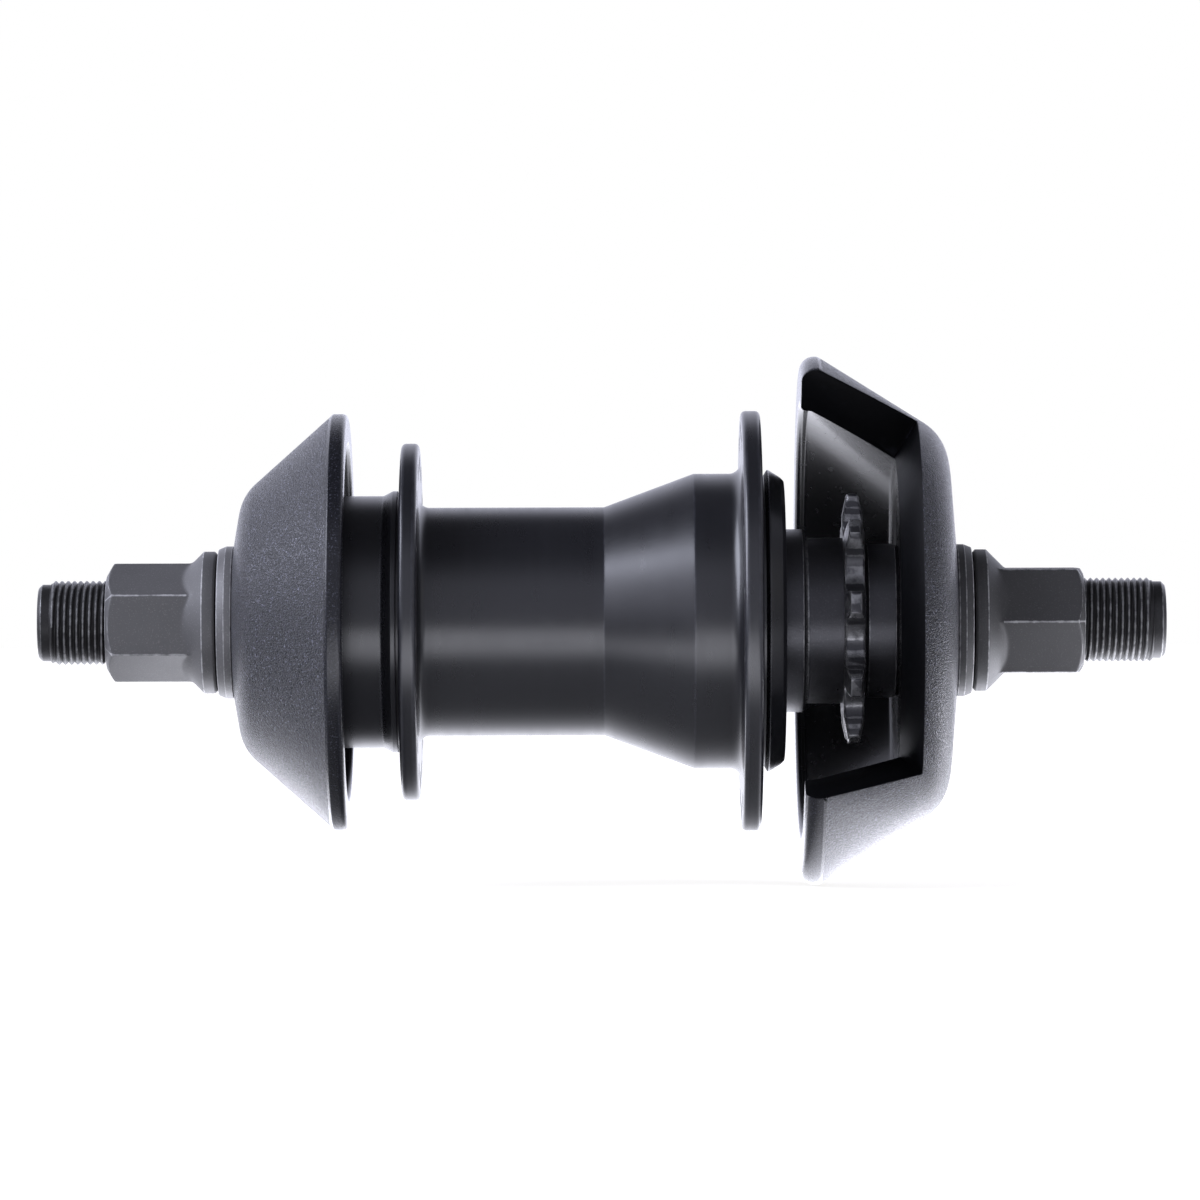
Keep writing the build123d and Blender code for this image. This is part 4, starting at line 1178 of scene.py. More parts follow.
class HUB_OT_axle_nuts(bpy.types.Operator):
    """Build both flanged axle nuts"""

    bl_idname = "hub.axle_nuts"
    bl_label = "Axle nuts"

    def execute(self, context):
        # The drive-side nut wears the darker phosphate copy as painted shade.
        pair = (("nds_axle_nut", -1, "phosphated_steel"), ("ds_axle_nut", 1, "shaded_phosphate"))
        for (name, side, look), turn in zip(pair, NUT_TURNS):
            mesh = nut_mesh(name + "_dressed", side, turn)
            finish = finish_for(look)
            add_piece(mesh.name, mesh, "axle_assembly", [finish], [name])
        return {"FINISHED"}


class HUB_OT_washers(bpy.types.Operator):
    """Build both dropout washers"""

    bl_idname = "hub.washers"
    bl_label = "Washers"

    def execute(self, context):
        near, far = WASHER_X
        corners = [
            (near, WASHER_BORE_R, 0.2),
            (far, WASHER_BORE_R, 0.2),
            (far, WASHER_R - WASHER_BEVEL[1], 0.15),
            (far - WASHER_BEVEL[0], WASHER_R, 0.12),
            (near, WASHER_R, 0.2),
        ]
        # The drive-side washer wears the darker phosphate copy as painted shade.
        pair = (
            ("nds_washer", mirrored(corners), "washer_steel"),
            ("ds_washer", corners, "shaded_phosphate"),
        )
        for name, outline, look in pair:
            mesh = turned_mesh(name + "_dressed", outline)
            finish = finish_for(look)
            add_piece(mesh.name, mesh, "axle_assembly", [finish], [name])
        return {"FINISHED"}


def axle_outline(root):
    """Section of the axle, with the roots of its threads and the seats of its bearings."""
    nds_tip, ds_tip = AXLE_TIP_X
    nds_seat, ds_seat = SEAT_X
    collar_start, collar_end = COLLAR_X
    plain_side = [
        (nds_tip, 0.0),
        (nds_tip, TIP_R - TIP_CHAMFER, TIP_ROUND),
        (nds_tip + TIP_CHAMFER, TIP_R, TIP_ROUND),
        (nds_tip + TIP_LENGTH, TIP_R),
        (nds_tip + TIP_LENGTH + THREAD_RUNOUT, root),
        (-THREAD_START_X, root),
        (-THREAD_START_X, ENGAGED_R),
        (-NUT_INNER_X, ENGAGED_R),
        (-NUT_INNER_X, THREAD_R),
        (-LOCKNUT_FACE_X, THREAD_R),
        (-LOCKNUT_FACE_X, ENGAGED_R),
        (nds_seat, ENGAGED_R),
        (nds_seat, SEAT_R),
        (collar_start, SEAT_R),
        (collar_start, COLLAR_R, 0.2),
        (collar_end, COLLAR_R, 0.2),
        (collar_end, SEAT_R),
    ]
    drive_side = [
        (ds_seat, SEAT_R),
        (ds_seat, ENGAGED_R),
        (LOCKNUT_FACE_X, ENGAGED_R),
        (LOCKNUT_FACE_X, THREAD_R),
        (NUT_INNER_X, THREAD_R),
        (NUT_INNER_X, ENGAGED_R),
        (THREAD_START_X, ENGAGED_R),
        (THREAD_START_X, root),
        (ds_tip - TIP_LENGTH - THREAD_RUNOUT, root),
        (ds_tip - TIP_LENGTH, TIP_R),
        (ds_tip - TIP_CHAMFER, TIP_R, TIP_ROUND),
        (ds_tip, TIP_R - TIP_CHAMFER, TIP_ROUND),
        (ds_tip, 0.0),
    ]
    return plain_side + drive_side


class HUB_OT_axle(bpy.types.Operator):
    """Build the axle with its two cut threads"""

    bl_idname = "hub.axle"
    bl_label = "Axle"

    def execute(self, context):
        sizes = context.scene.hub_sizes
        depth = sizes.thread_depth / MM
        root = THREAD_R - depth
        finish = finish_for("threaded_steel")
        core = turned_mesh("axle_core", axle_outline(root))
        tree = ridge_tree()
        whole = bmesh.new()
        whole.from_mesh(core)
        wear = whole.verts.layers.float.get("edge_wear")
        nds_tip, ds_tip = AXLE_TIP_X
        spans = ((nds_tip + TIP_LENGTH, -THREAD_START_X), (THREAD_START_X, ds_tip - TIP_LENGTH))
        for start, end in spans:
            holder = scratch_object(bpy.data.meshes.new("thread"))
            add_nodes(
                holder,
                tree,
                {
                    "Start": start * MM,
                    "Length": (end - start) * MM,
                    "Pitch": sizes.thread_pitch,
                    "Root radius": root * MM,
                    "Depth": sizes.thread_depth,
                    "Material": finish,
                },
            )
            known = len(whole.verts)
            whole.from_mesh(evaluated_mesh(holder, "thread"))
            whole.verts.ensure_lookup_table()
            for vertex in whole.verts[known:]:
                height = sqrt(vertex.co.y**2 + vertex.co.z**2) / MM - root
                vertex[wear] = 1.0 if height > WORN_THREAD_SHARE * depth else 0.0
        bmesh.ops.recalc_face_normals(whole, faces=whole.faces)
        whole.to_mesh(core)
        whole.free()
        shaded(core)
        add_piece("axle_threaded", core, "axle_assembly", [finish], ["axle"])
        return {"FINISHED"}


def bowl_outline(slope, wall, shoulder, foot_x, lip, rim_x, floor_x, rounds):
    """Section of a guard's bowl, from its face over the lip to its floor; the outside is first."""
    rise = tan(radians(slope))
    shoulder_x, shoulder_r = shoulder
    lip_x, lip_r = lip
    edge_r, edge_round = GUARD_EDGE
    shoulder_round, rim_round, mouth_round, slope_round, floor_round = rounds
    wall_r = wall / cos(radians(slope))
    foot_r = shoulder_r + rise * (shoulder_x - foot_x)
    floor_r = shoulder_r + rise * (shoulder_x - floor_x) - wall_r
    mouth_r = foot_r - wall_r + rise * (foot_x - rim_x) / 2
    mouth_x = shoulder_x - (mouth_r + wall_r - shoulder_r) / rise
    return [
        (GUARD_FACE_X, GUARD_BORE_R),
        (GUARD_FACE_X, edge_r, edge_round),
        (shoulder_x, shoulder_r, shoulder_round),
        (foot_x, foot_r, 0.5),
        (lip_x, lip_r, 0.3),
        (rim_x, lip_r, rim_round),
        (rim_x, mouth_r, mouth_round),
        (mouth_x, mouth_r, slope_round),
        (floor_x, floor_r, floor_round),
    ]


def nds_guard_outline():
    """Section of the plain-side guard, drawn on the drive side."""
    return [*bowl_outline(**NDS_BOWL), (LOCKNUT_FACE_X, GUARD_BORE_R)]


def ds_guard_outline():
    """Section of the drive-side guard, with the pocket for its cone nut and locknut."""
    return [
        *bowl_outline(**DS_BOWL),
        (CONE_OUTER_X, DS_POCKET_R),
        (LOCKNUT_FACE_X, DS_POCKET_R),
        (LOCKNUT_FACE_X, GUARD_BORE_R),
    ]


def window_cutter():
    """Space of the chain window: a wedge between two planes, ended by a cone square to the wall."""
    near, far = WINDOW_CUT_X
    back, front = WINDOW_CUT_DEPTH
    side_view = [(near, front), (near, back), (far, back), (far, front)]
    lower_z, lower_slope = WINDOW_LOWER
    upper_z, upper_slope = WINDOW_UPPER
    lower = [(x, -d, lower_z - tan(radians(lower_slope)) * d) for x, d in side_view]
    upper = [(x, -d, upper_z + tan(radians(upper_slope)) * d) for x, d in side_view]
    count = len(side_view)
    faces = [tuple(range(count)), tuple(range(2 * count - 1, count - 1, -1))]
    for index in range(count):
        after = (index + 1) % count
        faces.append((after, index, count + index, count + after))
    mesh = bpy.data.meshes.new("window")
    mesh.from_pydata([Vector(p) * MM for p in lower + upper], [], faces)
    work = bmesh.new()
    work.from_mesh(mesh)
    bmesh.ops.recalc_face_normals(work, faces=work.faces)
    work.to_mesh(mesh)
    work.free()
    (foot_x, foot_r), (edge_x, edge_r) = WINDOW_END
    reach = (edge_x - foot_x) / (edge_r - foot_r)
    cone = [
        (near - 1.0, 0.0),
        (near - 1.0, WINDOW_CUT_R),
        (foot_x + reach * (WINDOW_CUT_R - foot_r), WINDOW_CUT_R),
        (foot_x, foot_r),
        (foot_x, 0.0),
    ]
    return combined("window", mesh, [("INTERSECT", turned_mesh("window_end", cone))])


def nearest_run(spot, normal, corners):
    """Nearest run of an outline to a spot: (distance, how square the normal is to it, number)."""
    best = (1e9, 0.0, 0)
    for index, (start, end) in enumerate(zip(corners, corners[1:])):
        run = end - start
        share = min(max((spot - start).dot(run) / run.length_squared, 0.0), 1.0)
        away = (spot - start - run * share).length
        outward = Vector((run.y, -run.x)).normalized()
        best = min(best, (away, normal.dot(outward), index))
    return best


# A guard's finishes, by the number that mark_zones gives a face
GUARD_LOOKS = ("guard_outside", "guard_inside", "guard_lip", "guard_cut")
OUTSIDE, INSIDE, LIP, CUT = range(4)

# A face belongs to a skin when it is at most so far from the section and at least so square to it
OUTER_SKIN = (1.8, 0.62)
INNER_SKIN = (0.6, 0.75)
OUTER_CORNERS = slice(1, 7)
INNER_CORNERS = slice(6, None)
FIRST_LIP_RUN = 2


def mark_zones(mesh, outline, side):
    """Give each face of a guard the number of its finish."""
    corners = [Vector(corner[:2]) for corner in outline]
    outer, inner = corners[OUTER_CORNERS], corners[INNER_CORNERS]
    for face in mesh.polygons:
        centre, normal = face.center, face.normal
        spot = Vector((side * centre.x, sqrt(centre.y**2 + centre.z**2))) / MM
        normal_r = (normal.y * centre.y + normal.z * centre.z) / (spot.y * MM)
        facing = Vector((side * normal.x, normal_r))
        away, squareness, index = nearest_run(spot, facing, outer)
        if away < OUTER_SKIN[0] and squareness > OUTER_SKIN[1]:
            face.material_index = LIP if index >= FIRST_LIP_RUN else OUTSIDE
            continue
        away, squareness, index = nearest_run(spot, facing, inner)
        skin = away < INNER_SKIN[0] and squareness > INNER_SKIN[1]
        face.material_index = INSIDE if skin else CUT


def add_guard(name, mesh, outline, side):
    """Put a guard in the scene, finished zone by zone."""
    finishes = [finish_for(look) for look in GUARD_LOOKS]
    add_piece(name + "_dressed", mesh, "axle_assembly", finishes, [name])
    mark_zones(mesh, outline, side)


class HUB_OT_nds_guard(bpy.types.Operator):
    """Build the plain-side guard"""

    bl_idname = "hub.nds_guard"
    bl_label = "Plain-side guard"

    def execute(self, context):
        outline = nds_guard_outline()
        mesh = turned_mesh("nds_guard_dressed", mirrored(outline))
        add_guard("nds_guard", mesh, outline, -1)
        return {"FINISHED"}


class HUB_OT_ds_guard(bpy.types.Operator):
    """Build the drive-side guard with its chain window"""

    bl_idname = "hub.ds_guard"
    bl_label = "Drive-side guard"

    def execute(self, context):
        outline = ds_guard_outline()
        bowl = turned_mesh("bowl", outline)
        cut = combined("bowl_cut", bowl, [("DIFFERENCE", window_cutter())])
        work = bmesh.new()
        work.from_mesh(cut)
        bmesh.ops.remove_doubles(work, verts=work.verts, dist=CUT_MERGE_DISTANCE)
        bmesh.ops.dissolve_degenerate(work, edges=work.edges, dist=CUT_MERGE_DISTANCE)
        work.to_mesh(cut)
        work.free()
        width = context.scene.hub_sizes.cut_edge
        mesh = bevelled("ds_guard_dressed", cut, width, WINDOW_FOLD, clamp=False)
        add_guard("ds_guard", shaded(rubbed(mesh)), outline, 1)
        return {"FINISHED"}


def shell_outline():
    """Section of the shell: its outside from the plain side, then its bores on the way back."""
    nds_x, nds_thick, nds_r = NDS_FLANGE
    ds_x, ds_thick, ds_r = DS_FLANGE
    nds_boss = [
        (-45.0, 16.0, 0.2),
        (-45.0, 20.1, 0.12),
        (-44.4, 20.7, 0.15),
        (-34.7, 20.7, 0.8),
        (-33.1, 21.5, 0.25),
        (-32.3, 21.5, 0.12),
        (-32.3, 20.5),
        (nds_x, 20.5),
    ]
    flanges_and_barrel = [
        (nds_x, nds_r, FLANGE_ROUND),
        (nds_x + nds_thick, nds_r, FLANGE_ROUND),
        (nds_x + nds_thick, BARREL_R, 1.6),
        (1.5, BARREL_R, 0.6),
        (16.2, 24.2, 0.8),
        (ds_x, 24.2, 2.0),
        (ds_x, ds_r, FLANGE_ROUND),
        (ds_x + ds_thick, ds_r, FLANGE_ROUND),
    ]
    ds_rim = [
        (ds_x + ds_thick, 23.9),
        (27.7, 23.9),
        (28.3, 24.9, 0.2),
        (30.4, 23.6, 0.2),
        (31.0, 23.0, 0.15),
    ]
    bores = [
        (31.0, 21.0, 0.2),
        (13.0, 21.0),
        (13.0, 19.8),
        (9.5, 19.8),
        (4.5, 15.8),
        (-34.0, 15.8),
        (-34.0, 14.5),
        (-35.5, 14.5),
        (-35.5, 16.0),
    ]
    return nds_boss + flanges_and_barrel + ds_rim + bores


class HUB_OT_shell(bpy.types.Operator):
    """Build the shell and drill its spoke holes"""

    bl_idname = "hub.shell"
    bl_label = "Shell"

    def execute(self, context):
        holder = scratch_object(turned_mesh("shell_blank", shell_outline()))
        tree = spoke_hole_tree()
        finish = finish_for("anodised_shell")
        for start, thickness, rim in (NDS_FLANGE, DS_FLANGE):
            add_nodes(
                holder,
                tree,
                {
                    "Flange start": start * MM,
                    "Thickness": thickness * MM,
                    "Circle radius": (rim - SPOKE_EDGE) * MM,
                    "Hole radius": SPOKE_HOLE_R * MM,
                    "Countersink": SPOKE_COUNTERSINK * MM,
                    "Count": SPOKE_COUNT,
                    "Material": finish,
                },
            )
        mesh = shaded(evaluated_mesh(holder, "hub_shell_dressed"))
        add_piece("hub_shell_dressed", mesh, "shell", [finish], ["hub_shell"])
        return {"FINISHED"}


def polar(radius, angle):
    """Point at that radius and angle."""
    return Vector((radius * cos(angle), radius * sin(angle)))


def arc(centre, radius, first, last, steps):
    """Points of an arc between two points, without the first."""
    start = first - centre
    end = last - centre
    sweep = start.angle(end)
    for step in range(1, steps + 1):
        share = step / steps
        spoke = (start * sin((1 - share) * sweep) + end * sin(share * sweep)) / sin(sweep)
        yield centre + spoke.normalized() * radius


def tooth_points():
    """Outline of the sprocket, with a roller seat before each tooth."""
    half_step = pi / SPROCKET_TEETH
    pitch_r = CHAIN_PITCH / 2 / sin(half_step)
    flank_r = CHAIN_PITCH - ROLLER_R
    tip_cosine = (pitch_r**2 + TOOTH_TIP_R**2 - flank_r**2) / (2 * pitch_r * TOOTH_TIP_R)
    tip_angle = acos(tip_cosine)
    points = []
    for tooth in range(SPROCKET_TEETH):
        angle = 2 * half_step * tooth
        before = polar(pitch_r, angle - 2 * half_step)
        roller = polar(pitch_r, angle)
        after = polar(pitch_r, angle + 2 * half_step)
        seat_start = roller + (before - roller).normalized() * ROLLER_R
        seat_end = roller + (after - roller).normalized() * ROLLER_R
        bottom = polar(pitch_r - ROLLER_R, angle)
        tip_start = polar(TOOTH_TIP_R, angle + 2 * half_step - tip_angle)
        tip_end = polar(TOOTH_TIP_R, angle + tip_angle)
        next_seat = after + (roller - after).normalized() * ROLLER_R
        points += arc(roller, ROLLER_R, seat_start, bottom, 5)
        points += arc(roller, ROLLER_R, bottom, seat_end, 5)
        points += arc(after, flank_r, seat_end, tip_start, 6)
        points += arc(Vector((0, 0)), TOOTH_TIP_R, tip_start, tip_end, 2)
        points += arc(roller, flank_r, tip_end, next_seat, 6)
    return points


def sprocket_mesh():
    """Nine-tooth sprocket whose teeth thin towards their tips, with softened edges."""
    turn = radians(180 + 180 / SPROCKET_TEETH - TOOTH_TURN)
    c, s = cos(turn), sin(turn)
    start_x, end_x = SPROCKET_SPAN
    inset = (end_x - start_x - TOOTH_TIP_THICKNESS) / 2
    outline = tooth_points()
    work = bmesh.new()
    sides = []
    for face_x, direction in ((start_x, 1), (end_x, -1)):
        row = []
        for point in outline:
            share = max(point.length - TOOTH_TAPER_R, 0.0) / (TOOTH_TIP_R - TOOTH_TAPER_R)
            x = face_x + direction * inset * share
            spot = Vector((point.x * c - point.y * s, point.x * s + point.y * c))
            row.append(work.verts.new((x * MM, spot.x * MM, spot.y * MM)))
        sides.append(row)
    count = len(outline)
    for index in range(count):
        after = (index + 1) % count
        work.faces.new((sides[0][index], sides[0][after], sides[1][after], sides[1][index]))
    low = [point.length < TOOTH_TAPER_R for point in outline]
    for row in sides:
        root = [row[index] for index in range(count) if low[index]]
        work.faces.new(root)
        first = next(index for index in range(count) if low[index - 1] and not low[index])
        run = []
        for step in range(count + 1):
            index = (first + step) % count
            if not low[index]:
                run.append(index)
            elif run:
                around = [(run[0] - 1) % count, *run, index]
                work.faces.new([row[place] for place in around])
                run = []
    bmesh.ops.recalc_face_normals(work, faces=work.faces)
    mesh = bpy.data.meshes.new("sprocket")
    work.to_mesh(mesh)
    work.free()
    return bevelled("sprocket", mesh, bpy.context.scene.hub_sizes.tooth_edge, SHARP_ANGLE)


def screw_mesh(finish):
    """The driver's coarse screw, with its end inside the body."""
    start_x, end_x = SCREW_SPAN
    holder = scratch_object(bpy.data.meshes.new("screw"))
    add_nodes(
        holder,
        screw_tree(),
        {
            "Start": start_x * MM,
            "Length": (end_x - start_x + SCREW_OVERLAP) * MM,
            "Lead": SCREW_LEAD * MM,
            "Root radius": SCREW_ROOT_R * MM,
            "Crest radius": SCREW_CREST_R * MM,
            "Starts": SCREW_STARTS,
            "Material": finish,
        },
    )
    return cleaned(evaluated_mesh(holder, "screw"))


def driver_outline():
    """Section of the driver's solid body: spring groove, bearing seat, collar and neck."""
    screw_end = SCREW_SPAN[1]
    return [
        (screw_end, 0.0),
        (screw_end, SCREW_ROOT_R),
        (22.0, SCREW_ROOT_R),
        (22.0, 14.6, 0.1),
        (22.4, 15.0, 0.1),
        (29.8, 15.0),
        (29.8, 16.6, 0.15),
        (30.7, 16.6, 0.15),
        (30.7, 15.05, 0.25),
        (34.0, 15.05, 0.12),
        (34.4, 14.65, 0.12),
        (34.4, 13.6, 0.4),
        (41.0, 13.6),
        (41.0, 0.0),
    ]


def driver_bore_outline():
    """Section of the space for the needle bearing, the axle and the ball bearing."""
    start_x = SCREW_SPAN[0]
    return [
        (start_x - 1, 0.0),
        (start_x - 1, 10.5),
        (start_x + 12.5, 10.5),
        (start_x + 12.5, 9.6),
        (38.6, 9.6),
        (38.6, 12.0),
        (43.7, 12.0),
        (45.0, 13.3),
        (45.0, 0.0),
    ]


class HUB_OT_driver(bpy.types.Operator):
    """Build the driver with its coarse screw and sprocket"""

    bl_idname = "hub.driver"
    bl_label = "Driver"

    def execute(self, context):
        finish = finish_for("black_oxide_steel")
        body = turned_mesh("body", driver_outline())
        bore = turned_mesh("bore", driver_bore_outline())
        screw = screw_mesh(finish)
        steps = [("UNION", sprocket_mesh()), ("UNION", screw), ("DIFFERENCE", bore)]
        mesh = shaded(rubbed(combined("driver_dressed", body, steps)), DRIVER_SHARP_ANGLE)
        add_piece("driver_dressed", mesh, "driver", [finish], ["driver"])
        return {"FINISHED"}


# Sections of the round cone nuts
CONE_NUTS = {
    "nds_cone": [
        (-CONE_OUTER_X, 6.7),
        (-CONE_OUTER_X, 12.5, 0.12),
        (-CONE_OUTER_X + 0.5, 13.0, 0.12),
        (-45.9, 13.0, 0.12),
        (-45.4, 12.5, 0.12),
        (-45.4, 8.7),
        (-44.5, 8.7),
        (-44.5, 6.7),
    ],
    "ds_cone": [
        (43.6, 6.7),
        (43.6, 8.7),
        (44.15, 8.7),
        (44.15, 12.15, 0.12),
        (44.65, 12.65, 0.12),
        (49.1, 12.65, 0.12),
        (CONE_OUTER_X, 12.15, 0.12),
        (CONE_OUTER_X, 6.7),
    ],
}


class HUB_OT_cone_nuts(bpy.types.Operator):
    """Build the two round cone nuts"""

    bl_idname = "hub.cone_nuts"
    bl_label = "Cone nuts"

    def execute(self, context):
        finish = finish_for("black_oxide_steel")
        for name, corners in CONE_NUTS.items():
            mesh = turned_mesh(name + "_dressed", corners)
            add_piece(mesh.name, mesh, "axle_assembly", [finish], [name])
        return {"FINISHED"}


# Finishes of the pieces that keep the solid model's shape; the others are of bearing steel
INNER_LOOKS = {
    "nds_locknut": "phosphated_steel",
    "ds_locknut": "phosphated_steel",
    "clutch": "black_oxide_steel",
    "drag_spring": "black_oxide_steel",
}
ENDING_LOOKS = {"_cage": "bearing_cage", "_seals": "bearing_seal"}


class HUB_OT_inner_pieces(bpy.types.Operator):
    """Give the pieces inside the hub their finishes"""

    bl_idname = "hub.inner_pieces"
    bl_label = "Inner pieces"

    def execute(self, context):
        for name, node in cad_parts.items():
            if node.hide_render:
                continue
            look = INNER_LOOKS.get(name, "bearing_steel")
            for ending, ending_look in ENDING_LOOKS.items():
                if name.endswith(ending):
                    look = ending_look
            node.data.materials.clear()
            node.data.materials.append(finish_for(look))
        return {"FINISHED"}


# Studio
COOL_LIGHT = (0.97, 0.98, 1.08, 1.0)
WARM_LIGHT = (1.0, 0.985, 0.93, 1.0)
ROOM_TINT = (0.93, 0.945, 1.12, 1.0)
WHITE = (1.0, 1.0, 1.0, 1.0)
PALE_TABLE = (0.8, 0.8, 0.8, 1.0)
DIM_TABLE = (0.15, 0.15, 0.15, 1.0)
TABLE_TO_CAMERA = 0.72
TABLE_HALF = 6.0
TABLE_GAP = 0.05
LAMPS = (
    ("key", (-0.75, -0.2, 0.5), 0.7, (0.9, 0.93, 1.1)),
    ("fill", (0.8, -0.5, 0.35), 0.6, (1.0, 0.98, 0.96)),
)
SENSOR_WIDTH = 36.0
CAMERA_X = 0.00082
CAMERA_Z = 0.0035
CAMERA_TILT = radians(0.18)


def table_glow(t):
    """Strength of the table's glow as the hub sees it: strips round the hub, less spots dimmed as
    painted shade under and beside it.
    """
    spot = t.node("ShaderNodeTexCoord").outputs["Object"]
    split = t.node("ShaderNodeSeparateXYZ", {0: spot})
    x, y = split.outputs["X"], split.outputs["Y"]
    swayed = t.plus(y, t.times(t.noise(spot, 1.5, detail=1.0), 0.02))
    front = t.times(
        t.ramp(swayed, -0.042, -0.09),
        t.ramp(y, -0.5, -0.2),
        t.ramp(x, 0.04, 0.09, 1.0, 0.2),
        t.ramp(x, -0.05, -0.1, 1.0, 0.25),
    )
    behind = t.ramp(swayed, 0.0, 0.05)
    near_lip = t.times(t.ramp(x, 0.07, 0.058), 0.28)
    drive_side = t.times(
        t.band(x, (0.027, 0.042), (0.18, 0.135)),
        t.band(y, (-0.045, -0.01), (0.07, 0.03)),
        t.plus(t.ramp(x, 0.085, 0.115, 0.42, 1.4), near_lip),
    )
    plain_side = t.times(
        t.band(x, (-0.044, -0.056), (-0.082, -0.07)), t.band(y, (-0.01, 0.012), (0.08, 0.04))
    )
    # Painted shade: the glow is dimmed past the plain nut, under the gap by the plain flange and
    # under the drive-side nut, where the hub shades the table.
    past_plain_nut = t.times(t.ramp(x, -0.1, -0.14), t.ramp(y, 0.08, 0.0))
    under_gap = t.times(
        t.band(x, (-0.028, -0.034), (-0.0435, -0.04)), t.band(y, (0.03, 0.0), (-0.075, -0.045))
    )
    under_nut = t.times(t.band(x, (0.055, 0.06), (0.1, 0.086)), t.ramp(y, 0.014, -0.006))
    strips = [(front, 2.8), (behind, 1.9), (drive_side, 6.0), (plain_side, 3.0)]
    bright = t.plus(0.3, *[t.times(strip, gain) for strip, gain in strips])
    dark = t.math("MAXIMUM", t.math("MAXIMUM", past_plain_nut, under_gap), under_nut)
    return t.times(bright, t.math("SUBTRACT", 1.0, t.times(dark, 0.9)))


def table_material():
    """Light table: evenly white to the camera, with an uneven glow on the hub and its shadow."""
    material = bpy.data.materials.new("Table")
    material.use_nodes = True
    nodes = material.node_tree
    nodes.nodes.clear()
    t = Tree(nodes)
    seen = t.node("ShaderNodeLightPath").outputs["Is Camera Ray"]
    strength = t.blend(seen, table_glow(t), TABLE_TO_CAMERA)
    glow = t.node(
        "ShaderNodeEmission", {"Color": t.mix(seen, COOL_LIGHT, WARM_LIGHT), "Strength": strength}
    )
    matt = t.node("ShaderNodeBsdfDiffuse", {"Color": t.mix(seen, DIM_TABLE, PALE_TABLE)})
    both = t.node("ShaderNodeAddShader", {0: glow.outputs[0], 1: matt.outputs[0]})
    t.node("ShaderNodeOutputMaterial", {"Surface": both.outputs[0]})
    return material


def studio_world():
    """Soft room: brightest behind and on the left, dark overhead, and plain white to the camera."""
    world = bpy.data.worlds.new("Studio")
    bpy.context.scene.world = world
    world.use_nodes = True
    t = Tree(world.node_tree)
    way = t.node("ShaderNodeTexCoord").outputs["Generated"]
    split = t.node("ShaderNodeSeparateXYZ", {0: way})
    x, y, z = (split.outputs[axis] for axis in "XYZ")
    behind = t.ramp(y, -0.1, 0.75)
    height = t.plus(z, t.times(behind, 0.1))
    horizon = t.times(behind, t.ramp(height, 0.45, 0.15, 0.35, 0.95))
    left = t.times(t.ramp(x, 0.1, -0.9), t.ramp(z, 0.0, 0.3, 0.1, 0.5))
    corner = t.times(behind, t.ramp(x, 0.05, 0.35), 0.6)
    right = t.times(t.ramp(x, 0.1, 0.9), 0.36)
    level = t.math("SUBTRACT", t.plus(0.62, horizon, left, corner), right)
    level = t.blend(t.ramp(height, 0.58, 0.95), level, 0.08)
    seen = t.node("ShaderNodeLightPath").outputs["Is Camera Ray"]
    shade = world.node_tree.nodes["Background"]
    world.node_tree.links.new(t.blend(seen, level, 1.0), shade.inputs["Strength"])
    world.node_tree.links.new(t.mix(seen, ROOM_TINT, WHITE), shade.inputs["Color"])


def add_table():
    """Put the light table just under the drive-side guard."""
    floor_z = -(DS_BOWL["lip"][1] + TABLE_GAP) * MM
    corners = [
        (TABLE_HALF * x, TABLE_HALF * y, floor_z) for x, y in ((-1, -1), (1, -1), (1, 1), (-1, 1))
    ]
    mesh = bpy.data.meshes.new("table")
    mesh.from_pydata(corners, [], [(0, 1, 2, 3)])
    mesh.materials.append(table_material())
    table = bpy.data.objects.new("table", mesh)
    bpy.context.scene.collection.objects.link(table)


def add_lamp(name, power, spot, size, colour):
    """Put a softbox in the scene, aimed at the hub and hidden from the camera."""
    data = bpy.data.lights.new(name, "AREA")
    data.energy = power
    data.size = size
    data.color = colour
    lamp = bpy.data.objects.new(name, data)
    lamp.location = spot
    lamp.rotation_euler = (-Vector(spot)).to_track_quat("-Z", "Y").to_euler()
    lamp.visible_camera = False
    bpy.context.scene.collection.objects.link(lamp)


def add_camera(lens, distance):
    """Put the camera square in front of the hub."""
    camera = bpy.data.objects.new("camera", bpy.data.cameras.new("camera"))
    camera.data.sensor_width = SENSOR_WIDTH
    camera.data.lens = lens
    camera.data.clip_start = 0.05
    camera.location = (CAMERA_X, -distance, CAMERA_Z)
    camera.rotation_euler = (pi / 2, CAMERA_TILT, 0.0)
    bpy.context.scene.collection.objects.link(camera)
    bpy.context.scene.camera = camera


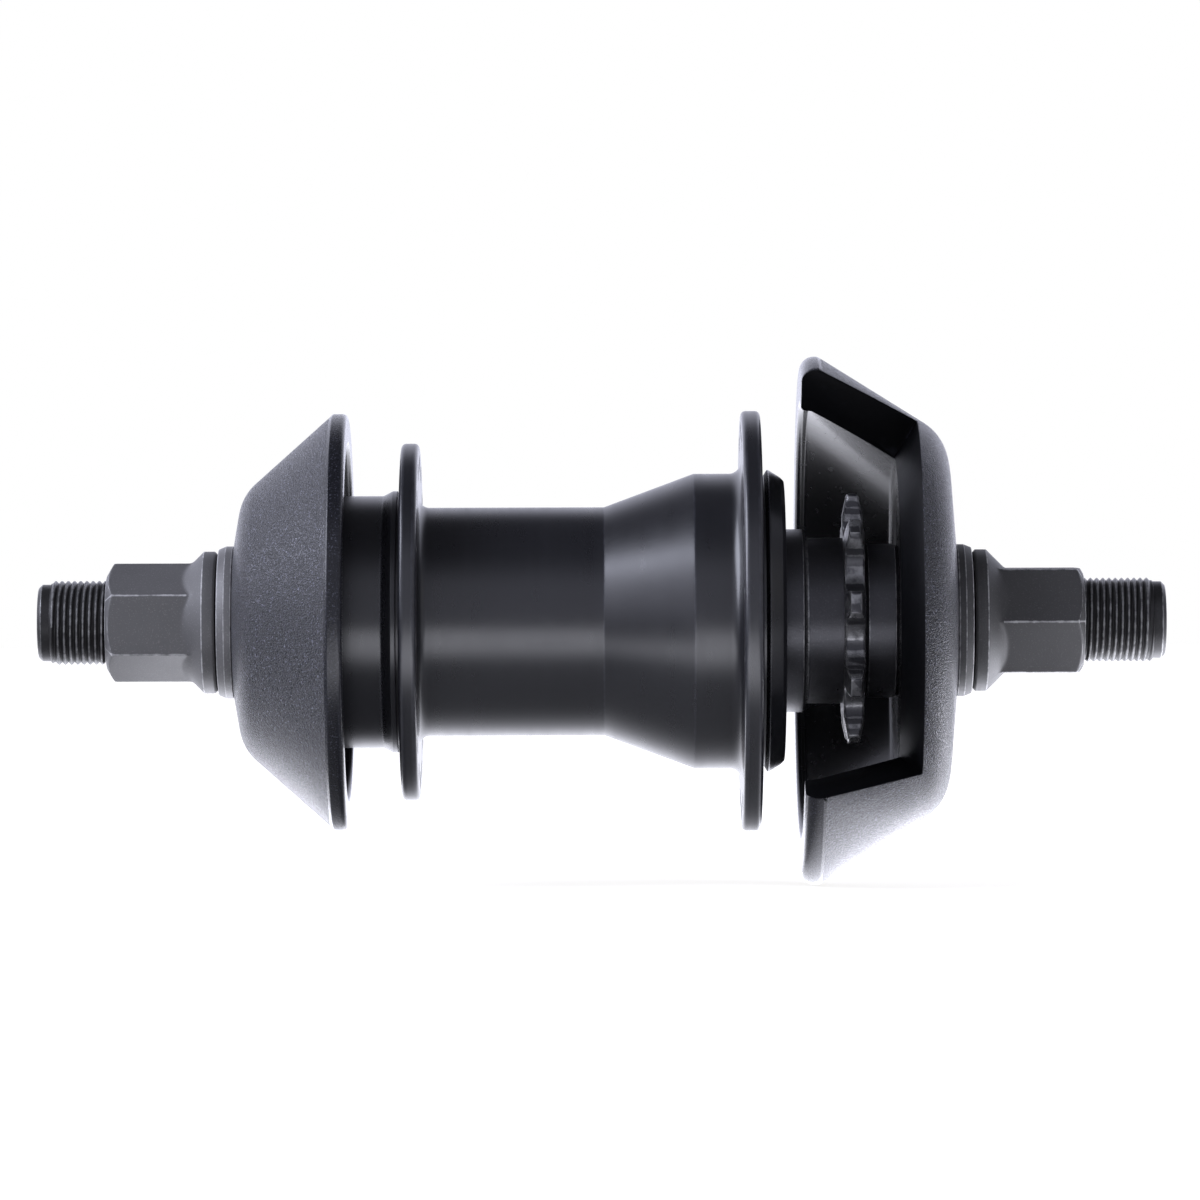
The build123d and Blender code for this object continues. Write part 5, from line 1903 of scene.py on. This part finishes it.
class HUB_OT_stage(bpy.types.Operator):
    """Build the table, lights and camera"""

    bl_idname = "hub.stage"
    bl_label = "Studio"

    def execute(self, context):
        studio = context.scene.hub_studio
        add_table()
        studio_world()
        for name, spot, size, colour in LAMPS:
            add_lamp(name, getattr(studio, name), spot, size, colour)
        add_camera(studio.lens, studio.distance)
        context.scene.view_settings.view_transform = "Standard"
        return {"FINISHED"}


class HUB_PT_pieces(bpy.types.Panel):
    """The hub's sizes, finishes and pieces"""

    bl_idname = "HUB_PT_pieces"
    bl_label = "Freecoaster hub"
    bl_space_type = "VIEW_3D"
    bl_region_type = "UI"
    bl_category = "Hub"

    def draw(self, context):
        scene = context.scene
        for group in (scene.hub_sizes, scene.hub_finishes, scene.hub_studio):
            box = self.layout.box()
            for name in group.__annotations__:
                box.prop(group, name)
        for operator in OPERATORS:
            self.layout.operator(operator.bl_idname)


SETTINGS = {"hub_sizes": HubSizes, "hub_finishes": HubFinishes, "hub_studio": HubStudio}
OPERATORS = (
    HUB_OT_axle,
    HUB_OT_axle_nuts,
    HUB_OT_washers,
    HUB_OT_nds_guard,
    HUB_OT_ds_guard,
    HUB_OT_shell,
    HUB_OT_driver,
    HUB_OT_cone_nuts,
    HUB_OT_inner_pieces,
    HUB_OT_stage,
)


def register():
    """Register the settings, operators and panel."""
    for name, group in SETTINGS.items():
        bpy.utils.register_class(group)
        setattr(bpy.types.Scene, name, PointerProperty(type=group))
    for item in (*OPERATORS, HUB_PT_pieces):
        bpy.utils.register_class(item)


def unregister():
    """Undo register."""
    for item in (HUB_PT_pieces, *reversed(OPERATORS)):
        bpy.utils.unregister_class(item)
    for name, group in SETTINGS.items():
        delattr(bpy.types.Scene, name)
        bpy.utils.unregister_class(group)


def main():
    """Build everything."""
    register()
    bpy.ops.hub.axle()
    bpy.ops.hub.axle_nuts()
    bpy.ops.hub.washers()
    bpy.ops.hub.nds_guard()
    bpy.ops.hub.ds_guard()
    bpy.ops.hub.shell()
    bpy.ops.hub.driver()
    bpy.ops.hub.cone_nuts()
    bpy.ops.hub.inner_pieces()
    bpy.ops.hub.stage()


if __name__ == "__main__":
    main()
